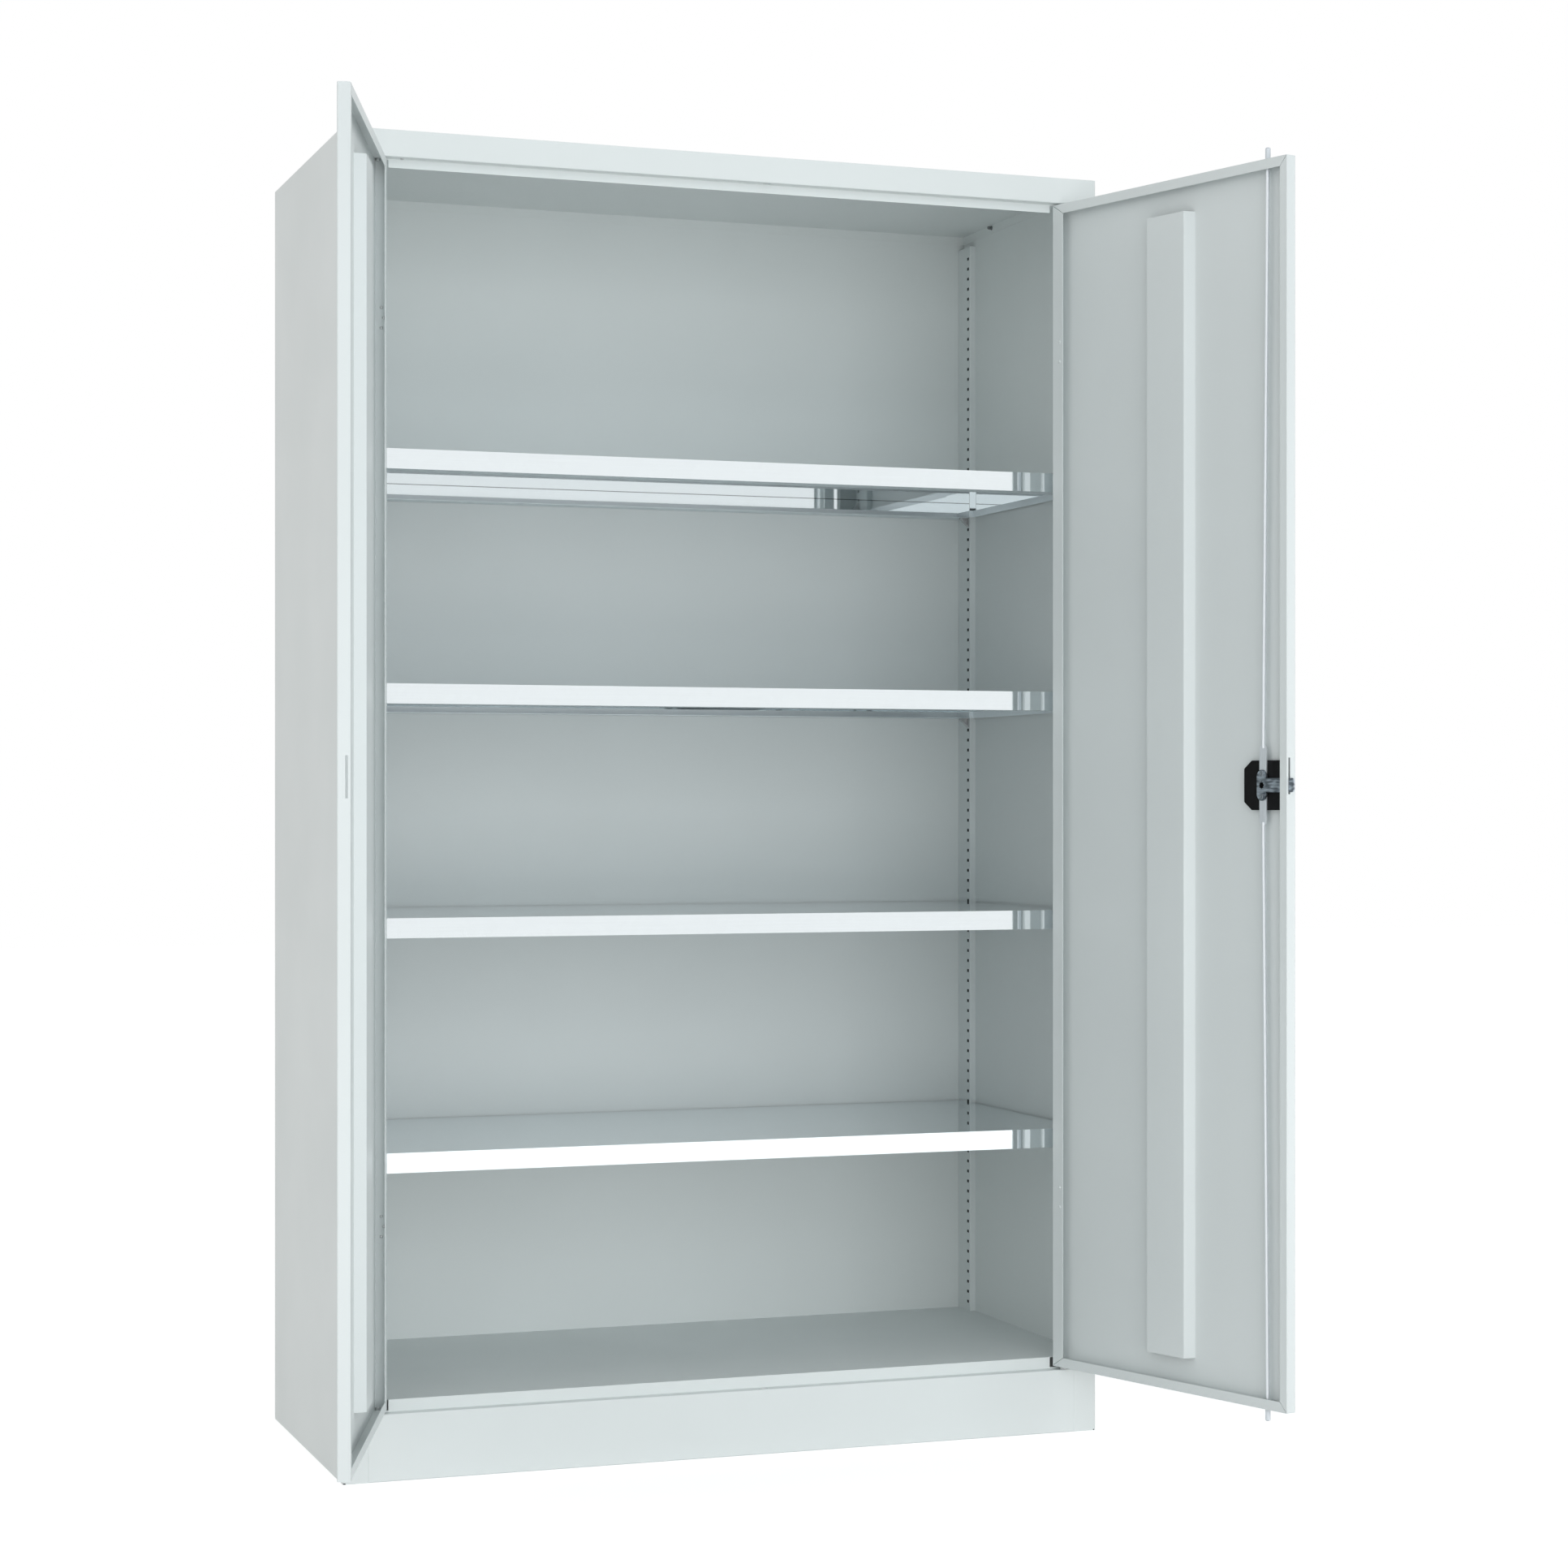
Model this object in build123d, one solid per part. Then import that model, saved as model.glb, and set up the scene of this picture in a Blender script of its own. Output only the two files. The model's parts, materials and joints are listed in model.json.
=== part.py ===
from build123d import *
import os
from math import atan2, degrees, hypot, sqrt

# A two-door steel storage cabinet, both doors swung open.
# X runs to the right, Y to the back and Z up. The origin is the middle of the front edge, on the floor.

# Closed body
WIDTH = 1200.0
DEPTH = 600.0
HEIGHT = 2000.0

# Sheet metal and fits
SHEET = 1.0
BEND = 1.0
FIT = 0.05
OVERRUN = 5.0

# Front frame round the doors
POST_FACE = 38.0
POST_RETURN = 20.0
REAR_FLANGE = 15.0
HEADER_FACE = 40.0
HEADER_STOP = 13.0
PLINTH_FACE = 100.0
PLINTH_FOOT = 15.0
STOP_Y = 20.0
FLOOR_RISE = 18.0
PANEL_FLANGE = 14.0

# Corner glides
GLIDE_LEG = 26.0
GLIDE_WALL = 8.0
GLIDE_HEIGHT = 12.0
GLIDE_RELIEF = 4.0
GLIDE_RELIEF_HEIGHT = 2.0

# Button under the header
BUTTON_FROM_SIDE = 90.0
BUTTON_Y = 13.0
BUTTON_RADIUS = 3.0
BUTTON_HEIGHT = 1.5
BUTTON_STEM_RADIUS = 2.0
BUTTON_STEM = 4.0

# Perforated strips
STRIP_WIDTH = 58.0
STRIP_PROUD = 10.0
STRIP_FRONT_Y = 40.0
STRIP_TOP_GAP = 25.0
HOLE_PITCH = 17.5
HOLE_ABOVE_FLOOR = 16.0
HOLE_WIDTH = 9.0
HOLE_HEIGHT = 5.0
HOLE_FROM_EDGE = 10.0

# Shelves and their clips
SHELF_HOLES = (78, 58, 38, 18)
SHELF_ABOVE_HOLE = 3.0
SHELF_HEIGHT = 30.0
SHELF_FRONT_Y = 33.0
SHELF_REAR_GAP = 1.0
SHELF_SIDE_GAP = 4.5
SHELF_NOTCH_GAP = 1.0
SHELF_LIP = 45.0
CLIP_WIDTH = 10.0
CLIP_REACH = 15.0
CLIP_HEIGHT = 16.0
CLIP_NOSE = 3.0
CLIP_SHEET = 1.5
CLIP_TONGUE_WIDTH = 8.0
CLIP_TONGUE_THICK = 2.5
CLIP_HOOK_DROP = 7.0
CLIP_HOOK_GAP = 0.3

# Doors, each drawn in its own frame: x from the hinge edge, y from the front face, z up
DOOR_EDGE = 40.0
DOOR_GAP = 3.0
DOOR_TOP_GAP = 2.0
DOOR_FOOT_GAP = 5.0
DOOR_DEPTH = 18.0
DOOR_LIP = 14.0
HINGE_LIP = 24.0
MITRE_GAP = 1.0
OPEN_ANGLE = 106.0
STIFFENER_BASE = 103.0
STIFFENER_FACE = 89.0
STIFFENER_END_GAP = 52.0

# Pivot pins and bushes
PIVOT_X = 12.5
PIVOT_Y = 6.0
SWEEP_GAP = 1.0
PIN_RADIUS = 3.5
PIN_HEAD_RADIUS = 4.3
PIN_HEAD = 4.5
PIN_HEAD_BEVEL = 1.2
PIN_INTO_BUSH = 8.0
BUSH_FLANGE_RADIUS = 5.8
BUSH_RADIUS = 4.6
BUSH_FLANGE = 1.5
BUSH_DEPTH = 6.0

# Plates riveted to the hinge edges
PLATE_FROM_TOP = 212.0
PLATE_FROM_BOTTOM = 248.0
PLATE_LENGTH = 46.0
PLATE_FRONT = 5.0
PLATE_BACK = 17.0
RIVET_PITCH = 15.0
RIVET_STAGGER = 3.5
RIVET_Y = 10.0
RIVET_HEAD_RADIUS = 2.6
RIVET_HEAD = 1.2
RIVET_RADIUS = 1.6
LIP_RIVET_X = 17.0
LIP_RIVET_PITCH = 31.0

# Lock, measured from the door's free edge and the floor
SPINDLE_FROM_EDGE = 60.5
SPINDLE_Z = 1030.0
CASE_HINGE_SIDE = 45.0
CASE_FREE_SIDE = 42.0
CASE_HALF_HEIGHT = 37.0
CASE_DEPTH = 8.3
CASE_CUT_LONG = 17.0
CASE_CUT_HIGH = 12.0
CASE_ROUND = 2.5
CASE_EDGE_ROUND = 1.0
JOURNAL_RADIUS = 6.0
SQUARE = 8.0
ROD_LAYER_GAP = 0.3
FLAT_THICK = 1.8
CAM_GAP = 0.2
CAM_THICK = 2.5
CAM_HALF_WIDTH = 10.5
CAM_HALF_HEIGHT = 23.0
CAM_RADIUS = 17.0
ARM_HALF_WIDTH = 10.5
ARM_REACH = 10.5
ARM_ROUND = 4.0
CAM_PIN_RADIUS = 2.5
CAM_PIN_HEAD_RADIUS = 4.0
CAM_PIN_HEAD = 1.0
ARM_SLOT_GAP = 0.5
ARM_SLOT_BELOW = 2.9
STRIKE_BELOW = 10.0
STRIKE_SPARE = 3.0

# Rods
GUIDE_FROM_EDGE = 50.0
ROD_RADIUS = 3.0
ROD_FLAT_HALF_WIDTH = 7.75
ROD_FLAT_LENGTH = 43.0
ROD_CASE_GAP = 1.0
TIP_RADIUS = 4.0
TIP_LENGTH = 30.0
TIP_WALL_END = 3.0
TIP_PROUD_DRAWN = 1.0
GUIDE_GAP = 0.5
GUIDE_SLACK = 4.6

# Outside handle and its key cylinder
ROSETTE_RADIUS = 28.0
ROSETTE_THICK = 4.0
ROSETTE_ROUND = 1.5
HUB_RADIUS = 10.0
GRIP_LENGTH = 108.0
GRIP_WIDTH = 26.0
GRIP_WAIST = 20.0
GRIP_FROM_DOOR = 8.0
GRIP_THICK = 18.0
GRIP_ROUND = 5.0
CYLINDER_RADIUS = 7.0
CYLINDER_LENGTH = 20.0
CYLINDER_RIM_RADIUS = 8.0
CYLINDER_RIM = 1.0
KEY_SLOT_LENGTH = 8.0
KEY_SLOT_WIDTH = 1.6
KEY_SLOT_DEPTH = 12.0

# Places worked out from the sizes above
HALF = WIDTH / 2
INNER = HALF - SHEET
POST_X = HALF - POST_FACE
BACK_Y = DEPTH - 2 * SHEET
ROOF_Z = HEIGHT - SHEET
HEADER_Z = HEIGHT - HEADER_FACE
FLOOR_Z = PLINTH_FACE + FLOOR_RISE
DOOR_X = HALF - DOOR_EDGE
DOOR_WIDTH = DOOR_X - DOOR_GAP / 2
DOOR_BOTTOM = PLINTH_FACE + DOOR_FOOT_GAP
DOOR_TOP = HEADER_Z - DOOR_TOP_GAP
DOOR_HEIGHT = DOOR_TOP - DOOR_BOTTOM
HINGE_X = DOOR_X - PIVOT_X
CORNER_SWEEP = hypot(PIVOT_X, DOOR_DEPTH - PIVOT_Y) + SWEEP_GAP
STRIP_FACE = INNER - STRIP_PROUD
STRIP_REAR_Y = BACK_Y - STRIP_WIDTH
STRIP_LENGTH = HEIGHT - STRIP_TOP_GAP - FLOOR_Z
FIRST_HOLE_Z = FLOOR_Z + HOLE_ABOVE_FLOOR
HOLE_COUNT = 1 + int((STRIP_LENGTH - 2 * HOLE_ABOVE_FLOOR) / HOLE_PITCH)
SPINDLE_X = DOOR_WIDTH - SPINDLE_FROM_EDGE
GUIDE_X = DOOR_WIDTH - GUIDE_FROM_EDGE
CASE_BACK = SHEET + CASE_DEPTH
FLAT_FRONT = CASE_BACK + ROD_LAYER_GAP
ROD_Y = FLAT_FRONT + FLAT_THICK / 2
CAM_FRONT = FLAT_FRONT + FLAT_THICK + CAM_GAP
CAM_BACK = CAM_FRONT + CAM_THICK
ROD_OUT = CAM_RADIUS + TIP_PROUD_DRAWN
LEAN_THROWN = degrees(atan2(GUIDE_X - SPINDLE_X, DOOR_TOP - SPINDLE_Z - CAM_RADIUS))
LEAN_BELOW_THROWN = degrees(atan2(GUIDE_X - SPINDLE_X, SPINDLE_Z - CAM_RADIUS - DOOR_BOTTOM))


def block(x_range, y_range, z_range):
    """A square-edged solid between the given pairs of planes."""
    size = [high - low for low, high in (x_range, y_range, z_range)]
    middle = [(high + low) / 2 for low, high in (x_range, y_range, z_range)]
    return Pos(*middle) * Box(*size)


def round_bar(radius, low, high, x=0, y=0):
    """An upright round bar between two heights."""
    return Pos(x, y, (low + high) / 2) * Cylinder(radius, high - low)


def across_bar(radius, low, high, x=0, z=0):
    """A round bar that lies along the door's thickness."""
    return Pos(x, (low + high) / 2, z) * Rot(90, 0, 0) * Cylinder(radius, high - low)


def both_sides(shape):
    """The piece and its mirror image across the middle of the cabinet."""
    return [shape, mirror(shape, about=Plane.YZ)]


def folded(points, side):
    """The section of a bent sheet whose seen surface follows the points."""
    radii = []
    for before, corner, after in zip(points, points[1:], points[2:]):
        run = (corner[0] - before[0], corner[1] - before[1])
        leave = (after[0] - corner[0], after[1] - corner[1])
        turns_left = run[0] * leave[1] - run[1] * leave[0] > 0
        wall_inside = turns_left == (side == Side.LEFT)
        radii.append(BEND + SHEET if wall_inside else BEND)
    line = FilletPolyline(*points, radius=radii)
    return make_face(offset(line, SHEET, side=side).edges())


# Body shell

def left_side():
    """Side wall with the door post folded at its front and a flange at its back."""
    section = folded(
        [(-POST_X, POST_RETURN), (-POST_X, 0), (-HALF, 0), (-HALF, DEPTH), (-HALF + REAR_FLANGE, DEPTH)],
        Side.RIGHT,
    )
    wall = extrude(section, HEIGHT)
    roof_notch = block(
        (-HALF + SHEET, -POST_X + OVERRUN), (SHEET, STOP_Y + OVERRUN), (ROOF_Z, HEIGHT + OVERRUN)
    )
    wall -= roof_notch
    for y in (0, DEPTH):
        wall -= block(
            (-HALF - OVERRUN, -HALF + GLIDE_RELIEF),
            (y - GLIDE_RELIEF, y + GLIDE_RELIEF),
            (-OVERRUN, GLIDE_RELIEF_HEIGHT),
        )
    return wall


def back_panel():
    """Flat sheet held in front of the side walls' rear flanges."""
    half = INNER - BEND
    return block((-half, half), (BACK_Y, BACK_Y + SHEET), (0, ROOF_Z))


def flanged_sheet(front, back, top):
    """A level sheet between the side walls, with flanges turned down at its sides and back."""
    body = block((-INNER, INNER), (front, back), (top - SHEET - PANEL_FLANGE, top))
    inside = block(
        (-INNER + SHEET, INNER - SHEET),
        (front - OVERRUN, back - SHEET),
        (top - SHEET - PANEL_FLANGE - OVERRUN, top - SHEET),
    )
    return body - inside


def top_panel():
    """The roof, over the back panel and behind the header's face."""
    sheet = block((-INNER, INNER), (SHEET, DEPTH - SHEET), (ROOF_Z, HEIGHT))
    sheet = fillet(sheet.edges().filter_by(Axis.Z), BEND)
    skirt = flanged_sheet(STOP_Y + SHEET, BACK_Y, HEIGHT)
    lip = block((-POST_X, POST_X), (SHEET, 2 * SHEET), (ROOF_Z - PANEL_FLANGE, ROOF_Z))
    return sheet + skirt + lip


def corner_reliefs(low, high):
    """The room that the doors' hinge corners sweep through, between two heights."""
    reach = (STOP_Y - OVERRUN, PIVOT_Y + CORNER_SWEEP)
    return both_sides(block((-INNER, -HINGE_X + CORNER_SWEEP), reach, (low, high)))


def floor_panel():
    """The cabinet's floor, on the riser behind the plinth, its front corners cut away."""
    panel = block((-INNER, INNER), (STOP_Y, BACK_Y), (FLOOR_Z - SHEET, FLOOR_Z))
    panel += flanged_sheet(STOP_Y + SHEET, BACK_Y, FLOOR_Z)
    for relief in corner_reliefs(FLOOR_Z - SHEET - PANEL_FLANGE - OVERRUN, FLOOR_Z + OVERRUN):
        panel -= relief
    return panel


def keeper_hole(slack, z):
    """The long hole that a rod's tip enters, with its slack on one side."""
    start = DOOR_X - GUIDE_X
    shape = SlotCenterToCenter(abs(slack), 2 * (TIP_RADIUS + GUIDE_GAP))
    return Pos(start + slack / 2, ROD_Y, z - OVERRUN) * extrude(shape, 2 * OVERRUN)


def header_rail():
    """Rail over the doors, with the door stop folded down behind them."""
    section = folded(
        [(0, HEIGHT), (0, HEADER_Z), (STOP_Y, HEADER_Z), (STOP_Y, HEADER_Z - HEADER_STOP)], Side.LEFT
    )
    rail = extrude(Plane.YZ * section, POST_X, both=True)
    for relief in corner_reliefs(HEADER_Z - HEADER_STOP - OVERRUN, HEADER_Z - BEND - SHEET):
        rail -= relief
    for x in (-HINGE_X, HINGE_X):
        rail -= round_bar(BUSH_RADIUS + FIT, HEADER_Z - OVERRUN, HEADER_Z + OVERRUN, x, PIVOT_Y)
    stem_x = BUTTON_FROM_SIDE - HALF
    rail -= round_bar(BUTTON_STEM_RADIUS + FIT, HEADER_Z - OVERRUN, HEADER_Z + OVERRUN, stem_x, BUTTON_Y)
    return rail - keeper_hole(GUIDE_SLACK, HEADER_Z)


def plinth():
    """Rail under the doors, with a foot on the floor and a riser under the floor panel."""
    section = folded(
        [
            (PLINTH_FOOT, 0),
            (0, 0),
            (0, PLINTH_FACE),
            (STOP_Y, PLINTH_FACE),
            (STOP_Y, FLOOR_Z - SHEET),
        ],
        Side.RIGHT,
    )
    rail = extrude(Plane.YZ * section, POST_X, both=True)
    for relief in corner_reliefs(PLINTH_FACE + BEND + SHEET, FLOOR_Z):
        rail -= relief
    for x in (-HINGE_X, HINGE_X):
        rail -= round_bar(BUSH_RADIUS + FIT, PLINTH_FACE - OVERRUN, PLINTH_FACE + OVERRUN, x, PIVOT_Y)
    return rail - keeper_hole(-GUIDE_SLACK, PLINTH_FACE)


def corner_glide():
    """The plastic angle that stands in the left front corner of the shell."""
    angle = block((-INNER, -INNER + GLIDE_LEG), (SHEET, SHEET + GLIDE_LEG), (0, GLIDE_HEIGHT))
    angle = fillet(angle.edges().filter_by(Axis.Z), BEND)
    return angle - block(
        (-INNER + GLIDE_WALL, HALF),
        (SHEET + GLIDE_WALL, DEPTH),
        (GLIDE_WALL / 2, GLIDE_HEIGHT + OVERRUN),
    )


def corner_glides():
    """The four glides, mirrored from one."""
    front = corner_glide()
    rear = Pos(0, DEPTH - SHEET, 0) * mirror(front, about=Plane.XZ)
    return both_sides(front) + both_sides(rear)


def header_button():
    """A low button with a bevelled rim over the left door, its stem through the header."""
    x = BUTTON_FROM_SIDE - HALF
    head = round_bar(BUTTON_RADIUS, HEADER_Z - BUTTON_HEIGHT, HEADER_Z, x, BUTTON_Y)
    head = chamfer(head.edges().sort_by(Axis.Z)[0], BUTTON_HEIGHT / 2)
    return head + round_bar(BUTTON_STEM_RADIUS, HEADER_Z, HEADER_Z + BUTTON_STEM, x, BUTTON_Y)


# Perforated strips, shelves and clips

def perforated_strip():
    """The left front channel, open to the side wall, with its column of hook holes."""
    low = -INNER
    high = -STRIP_FACE
    start = STRIP_FRONT_Y
    end = STRIP_FRONT_Y + STRIP_WIDTH
    section = folded([(low, start), (high, start), (high, end), (low, end)], Side.LEFT)
    channel = Pos(0, 0, FLOOR_Z) * extrude(section, STRIP_LENGTH)
    hole = Rectangle(HOLE_WIDTH, HOLE_HEIGHT)
    column = [Pos(start + HOLE_FROM_EDGE, hole_z(row)) * hole for row in range(HOLE_COUNT)]
    return channel - extrude(Plane.YZ.offset(high) * Sketch(children=column), 2 * SHEET, both=True)


def hole_z(row):
    """The height of a row of hook holes."""
    return FIRST_HOLE_Z + HOLE_PITCH * row


def strips():
    """Four strips, front and rear on both side walls."""
    front = perforated_strip()
    rear = Pos(0, STRIP_REAR_Y - STRIP_FRONT_Y, 0) * front
    return both_sides(front) + both_sides(rear)


def shelf():
    """An open tray with folded edges, notched round the strips, its underside at zero height."""
    half = INNER - SHELF_SIDE_GAP
    rear = BACK_Y - SHELF_REAR_GAP
    plan = Pos(0, (SHELF_FRONT_Y + rear) / 2) * Rectangle(2 * half, rear - SHELF_FRONT_Y)
    notch_width = half - STRIP_FACE + SHELF_NOTCH_GAP
    notch_length = STRIP_WIDTH + 2 * SHELF_NOTCH_GAP
    for strip_y in (STRIP_FRONT_Y, STRIP_REAR_Y):
        notch = Rectangle(2 * notch_width, notch_length)
        for x in (-half, half):
            plan -= Pos(x, strip_y + STRIP_WIDTH / 2) * notch
    inner = offset(plan, -SHEET)
    between_lips = Pos(0, (SHELF_FRONT_Y + rear) / 2) * Rectangle(
        WIDTH, rear - SHELF_FRONT_Y - 2 * SHELF_LIP
    )
    tray = extrude(plan, SHELF_HEIGHT)
    tray -= Pos(0, 0, SHEET) * extrude(inner, SHELF_HEIGHT - 2 * SHEET)
    return tray - extrude(inner & between_lips, SHEET)


def shelf_z(row):
    """The underside of a shelf that hangs over a row of hook holes."""
    return hole_z(row) + SHELF_ABOVE_HOLE


def shelf_clip():
    """A left front clip under a shelf at zero height: a gusseted bracket hooked into the strip."""
    face = -STRIP_FACE
    bracket = make_face(
        Polyline(
            (face, 0),
            (face + CLIP_REACH, 0),
            (face + CLIP_REACH, -CLIP_NOSE),
            (face, -CLIP_HEIGHT),
            close=True,
        )
    )
    behind = face - SHEET - CLIP_HOOK_GAP
    tongue_top = -SHELF_ABOVE_HOLE + CLIP_TONGUE_THICK / 2
    tongue_low = tongue_top - CLIP_TONGUE_THICK
    hook = make_face(
        Polyline(
            (face, tongue_top),
            (behind - CLIP_SHEET, tongue_top),
            (behind - CLIP_SHEET, tongue_low - CLIP_HOOK_DROP),
            (behind, tongue_low - CLIP_HOOK_DROP),
            (behind, tongue_low),
            (face, tongue_low),
            close=True,
        )
    )
    hollow = offset(bracket, -CLIP_SHEET)
    middle = STRIP_FRONT_Y + HOLE_FROM_EDGE
    body = extrude(Plane.XZ * bracket, CLIP_WIDTH / 2, both=True)
    body -= Pos(0, -CLIP_SHEET, 0) * extrude(Plane.XZ * hollow, CLIP_WIDTH / 2, both=True)
    body += extrude(Plane.XZ * hook, CLIP_TONGUE_WIDTH / 2, both=True)
    return Pos(0, middle, 0) * body


def shelf_clips(z):
    """The four clips that carry one shelf."""
    front = Pos(0, 0, z) * shelf_clip()
    rear = Pos(0, STRIP_REAR_Y - STRIP_FRONT_Y, 0) * front
    return Compound(children=[part.solid() for part in both_sides(front) + both_sides(rear)])


# Pivots

def revolved(points):
    """A turned piece from its half section, given as radius and height."""
    return revolve(Plane.XZ * make_face(Polyline(*points, close=True)), Axis.Z)


def bush(flange):
    """A flanged plastic bush, its flange below zero height and its body above."""
    bore = PIN_RADIUS + FIT
    return revolved(
        [
            (bore, -flange),
            (BUSH_FLANGE_RADIUS, -flange),
            (BUSH_FLANGE_RADIUS, 0),
            (BUSH_RADIUS, 0),
            (BUSH_RADIUS, BUSH_DEPTH),
            (bore, BUSH_DEPTH),
        ]
    )


def top_bush():
    """The left door's upper bush, in the header."""
    return Pos(-HINGE_X, PIVOT_Y, HEADER_Z) * bush(BUSH_FLANGE)


def bottom_bush():
    """The left door's lower bush, in the ledge, with the door standing on its flange."""
    return Pos(-HINGE_X, PIVOT_Y, PLINTH_FACE) * mirror(bush(DOOR_FOOT_GAP), about=Plane.XY)


def pivot_pin(gap):
    """A pin with a bevelled head below zero height, that crosses the gap at the door's end."""
    reach = SHEET + gap + PIN_INTO_BUSH
    return revolved(
        [
            (0, -PIN_HEAD),
            (PIN_HEAD_RADIUS - PIN_HEAD_BEVEL, -PIN_HEAD),
            (PIN_HEAD_RADIUS, PIN_HEAD_BEVEL - PIN_HEAD),
            (PIN_HEAD_RADIUS, 0),
            (PIN_RADIUS, 0),
            (PIN_RADIUS, reach - PIN_HEAD_BEVEL),
            (PIN_RADIUS - PIN_HEAD_BEVEL / 2, reach),
            (0, reach),
        ]
    )


def top_pin():
    """The pin in the door's top edge, in the door's frame."""
    return Pos(PIVOT_X, PIVOT_Y, DOOR_TOP - SHEET) * pivot_pin(DOOR_TOP_GAP)


def bottom_pin():
    """The pin in the door's bottom edge, in the door's frame."""
    return Pos(PIVOT_X, PIVOT_Y, DOOR_BOTTOM + SHEET) * mirror(pivot_pin(DOOR_FOOT_GAP), about=Plane.XY)


# Doors, in their own frame

def lip_plate():
    """The lips on all four edges, with open mitres at the corners."""
    low_z = DOOR_BOTTOM + DOOR_LIP + SHEET
    high_z = DOOR_TOP - DOOR_LIP - SHEET
    left_x = HINGE_LIP + SHEET
    right_x = DOOR_WIDTH - DOOR_LIP - SHEET
    layer = (DOOR_DEPTH - SHEET, DOOR_DEPTH)
    plate = block((SHEET, DOOR_WIDTH - SHEET), layer, (DOOR_BOTTOM + SHEET, DOOR_TOP - SHEET))
    plate -= block((left_x, right_x), (0, DEPTH), (low_z, high_z))
    corners = [
        ((SHEET, DOOR_BOTTOM + SHEET), (left_x, low_z)),
        ((SHEET, DOOR_TOP - SHEET), (left_x, high_z)),
        ((DOOR_WIDTH - SHEET, DOOR_BOTTOM + SHEET), (right_x, low_z)),
        ((DOOR_WIDTH - SHEET, DOOR_TOP - SHEET), (right_x, high_z)),
    ]
    for outer, inner in corners:
        across = inner[0] - outer[0]
        up = inner[1] - outer[1]
        slit = Rot(0, -degrees(atan2(up, across)), 0) * Box(
            hypot(across, up) + MITRE_GAP, 2 * DOOR_DEPTH, MITRE_GAP
        )
        plate -= Pos((outer[0] + inner[0]) / 2, DOOR_DEPTH, (outer[1] + inner[1]) / 2) * slit
    return plate


def door_pan():
    """The door's sheet: skin, edges and lips, with the pin holes."""
    pan = block((0, DOOR_WIDTH), (0, DOOR_DEPTH), (DOOR_BOTTOM, DOOR_TOP))
    front_edges = pan.faces().sort_by(Axis.Y)[0].edges()
    pan = fillet(front_edges, BEND + SHEET)
    pan -= block(
        (SHEET, DOOR_WIDTH - SHEET), (SHEET, DOOR_DEPTH + OVERRUN), (DOOR_BOTTOM + SHEET, DOOR_TOP - SHEET)
    )
    pan += lip_plate()
    for z in (DOOR_BOTTOM, DOOR_TOP):
        pan -= round_bar(PIN_RADIUS + FIT, z - OVERRUN, z + OVERRUN, PIVOT_X, PIVOT_Y)
    for z in plate_heights():
        for place in rivet_places(z):
            pan -= Pos(*place) * Rot(0, 90, 0) * Cylinder(RIVET_RADIUS + FIT, 2 * OVERRUN)
    return pan


def arm_sweep_height(distance):
    """How far above the spindle the turning arm still reaches at this distance from it."""
    reach = hypot(DOOR_WIDTH + ARM_REACH - SPINDLE_X, ARM_HALF_WIDTH)
    return sqrt(reach * reach - distance * distance)


def guide_hole(slack, z):
    """The long hole in a door's end edge that guides a rod's tip."""
    shape = SlotCenterToCenter(abs(slack), 2 * (TIP_RADIUS + GUIDE_GAP))
    return Pos(GUIDE_X + slack / 2, ROD_Y, z - OVERRUN / 2) * extrude(shape, OVERRUN)


def right_pan():
    """The door with the lock: rod guides, handle hole and the arm's slot."""
    pan = door_pan()
    pan -= guide_hole(-GUIDE_SLACK, DOOR_TOP)
    pan -= guide_hole(GUIDE_SLACK, DOOR_BOTTOM)
    pan -= across_bar(HUB_RADIUS + FIT, -OVERRUN, OVERRUN, SPINDLE_X, SPINDLE_Z)
    top = SPINDLE_Z + arm_sweep_height(DOOR_WIDTH - SHEET - SPINDLE_X) + ARM_SLOT_GAP
    pan -= block(
        (DOOR_WIDTH - OVERRUN, DOOR_WIDTH + OVERRUN),
        (CAM_FRONT - ARM_SLOT_GAP, CAM_BACK + ARM_SLOT_GAP),
        (SPINDLE_Z - ARM_HALF_WIDTH - ARM_SLOT_BELOW, top),
    )
    for z in lip_rivet_heights():
        pan -= across_bar(RIVET_RADIUS + FIT, DOOR_DEPTH - OVERRUN, DOOR_DEPTH + OVERRUN, LIP_RIVET_X, z)
    return pan


def left_pan():
    """The door without the lock, with the strike slot for the arm."""
    pan = door_pan()
    top = SPINDLE_Z + arm_sweep_height(DOOR_WIDTH + DOOR_GAP - SPINDLE_X) + STRIKE_SPARE
    pan -= block(
        (DOOR_WIDTH - OVERRUN, DOOR_WIDTH + OVERRUN),
        (CAM_FRONT - ARM_SLOT_GAP, CAM_BACK + ARM_SLOT_GAP),
        (SPINDLE_Z - ARM_HALF_WIDTH - STRIKE_BELOW, top),
    )
    return pan


def stiffener():
    """The hat-shaped rib between the door's skin and its inner face."""
    shift = (STIFFENER_BASE - STIFFENER_FACE) / 2
    left = (DOOR_WIDTH - STIFFENER_BASE) / 2
    right = (DOOR_WIDTH + STIFFENER_BASE) / 2
    section = folded(
        [(left, SHEET), (left + shift, DOOR_DEPTH), (right - shift, DOOR_DEPTH), (right, SHEET)], Side.RIGHT
    )
    section &= Pos((left + right) / 2, (SHEET + DOOR_DEPTH) / 2) * Rectangle(WIDTH, DOOR_DEPTH - SHEET)
    low = DOOR_BOTTOM + STIFFENER_END_GAP
    return Pos(0, 0, low) * extrude(section, DOOR_HEIGHT - 2 * STIFFENER_END_GAP)


def plate_heights():
    """The middles of the upper and the lower hinge-edge plates."""
    return (DOOR_TOP - PLATE_FROM_TOP - PLATE_LENGTH / 2, DOOR_BOTTOM + PLATE_FROM_BOTTOM + PLATE_LENGTH / 2)


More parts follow.
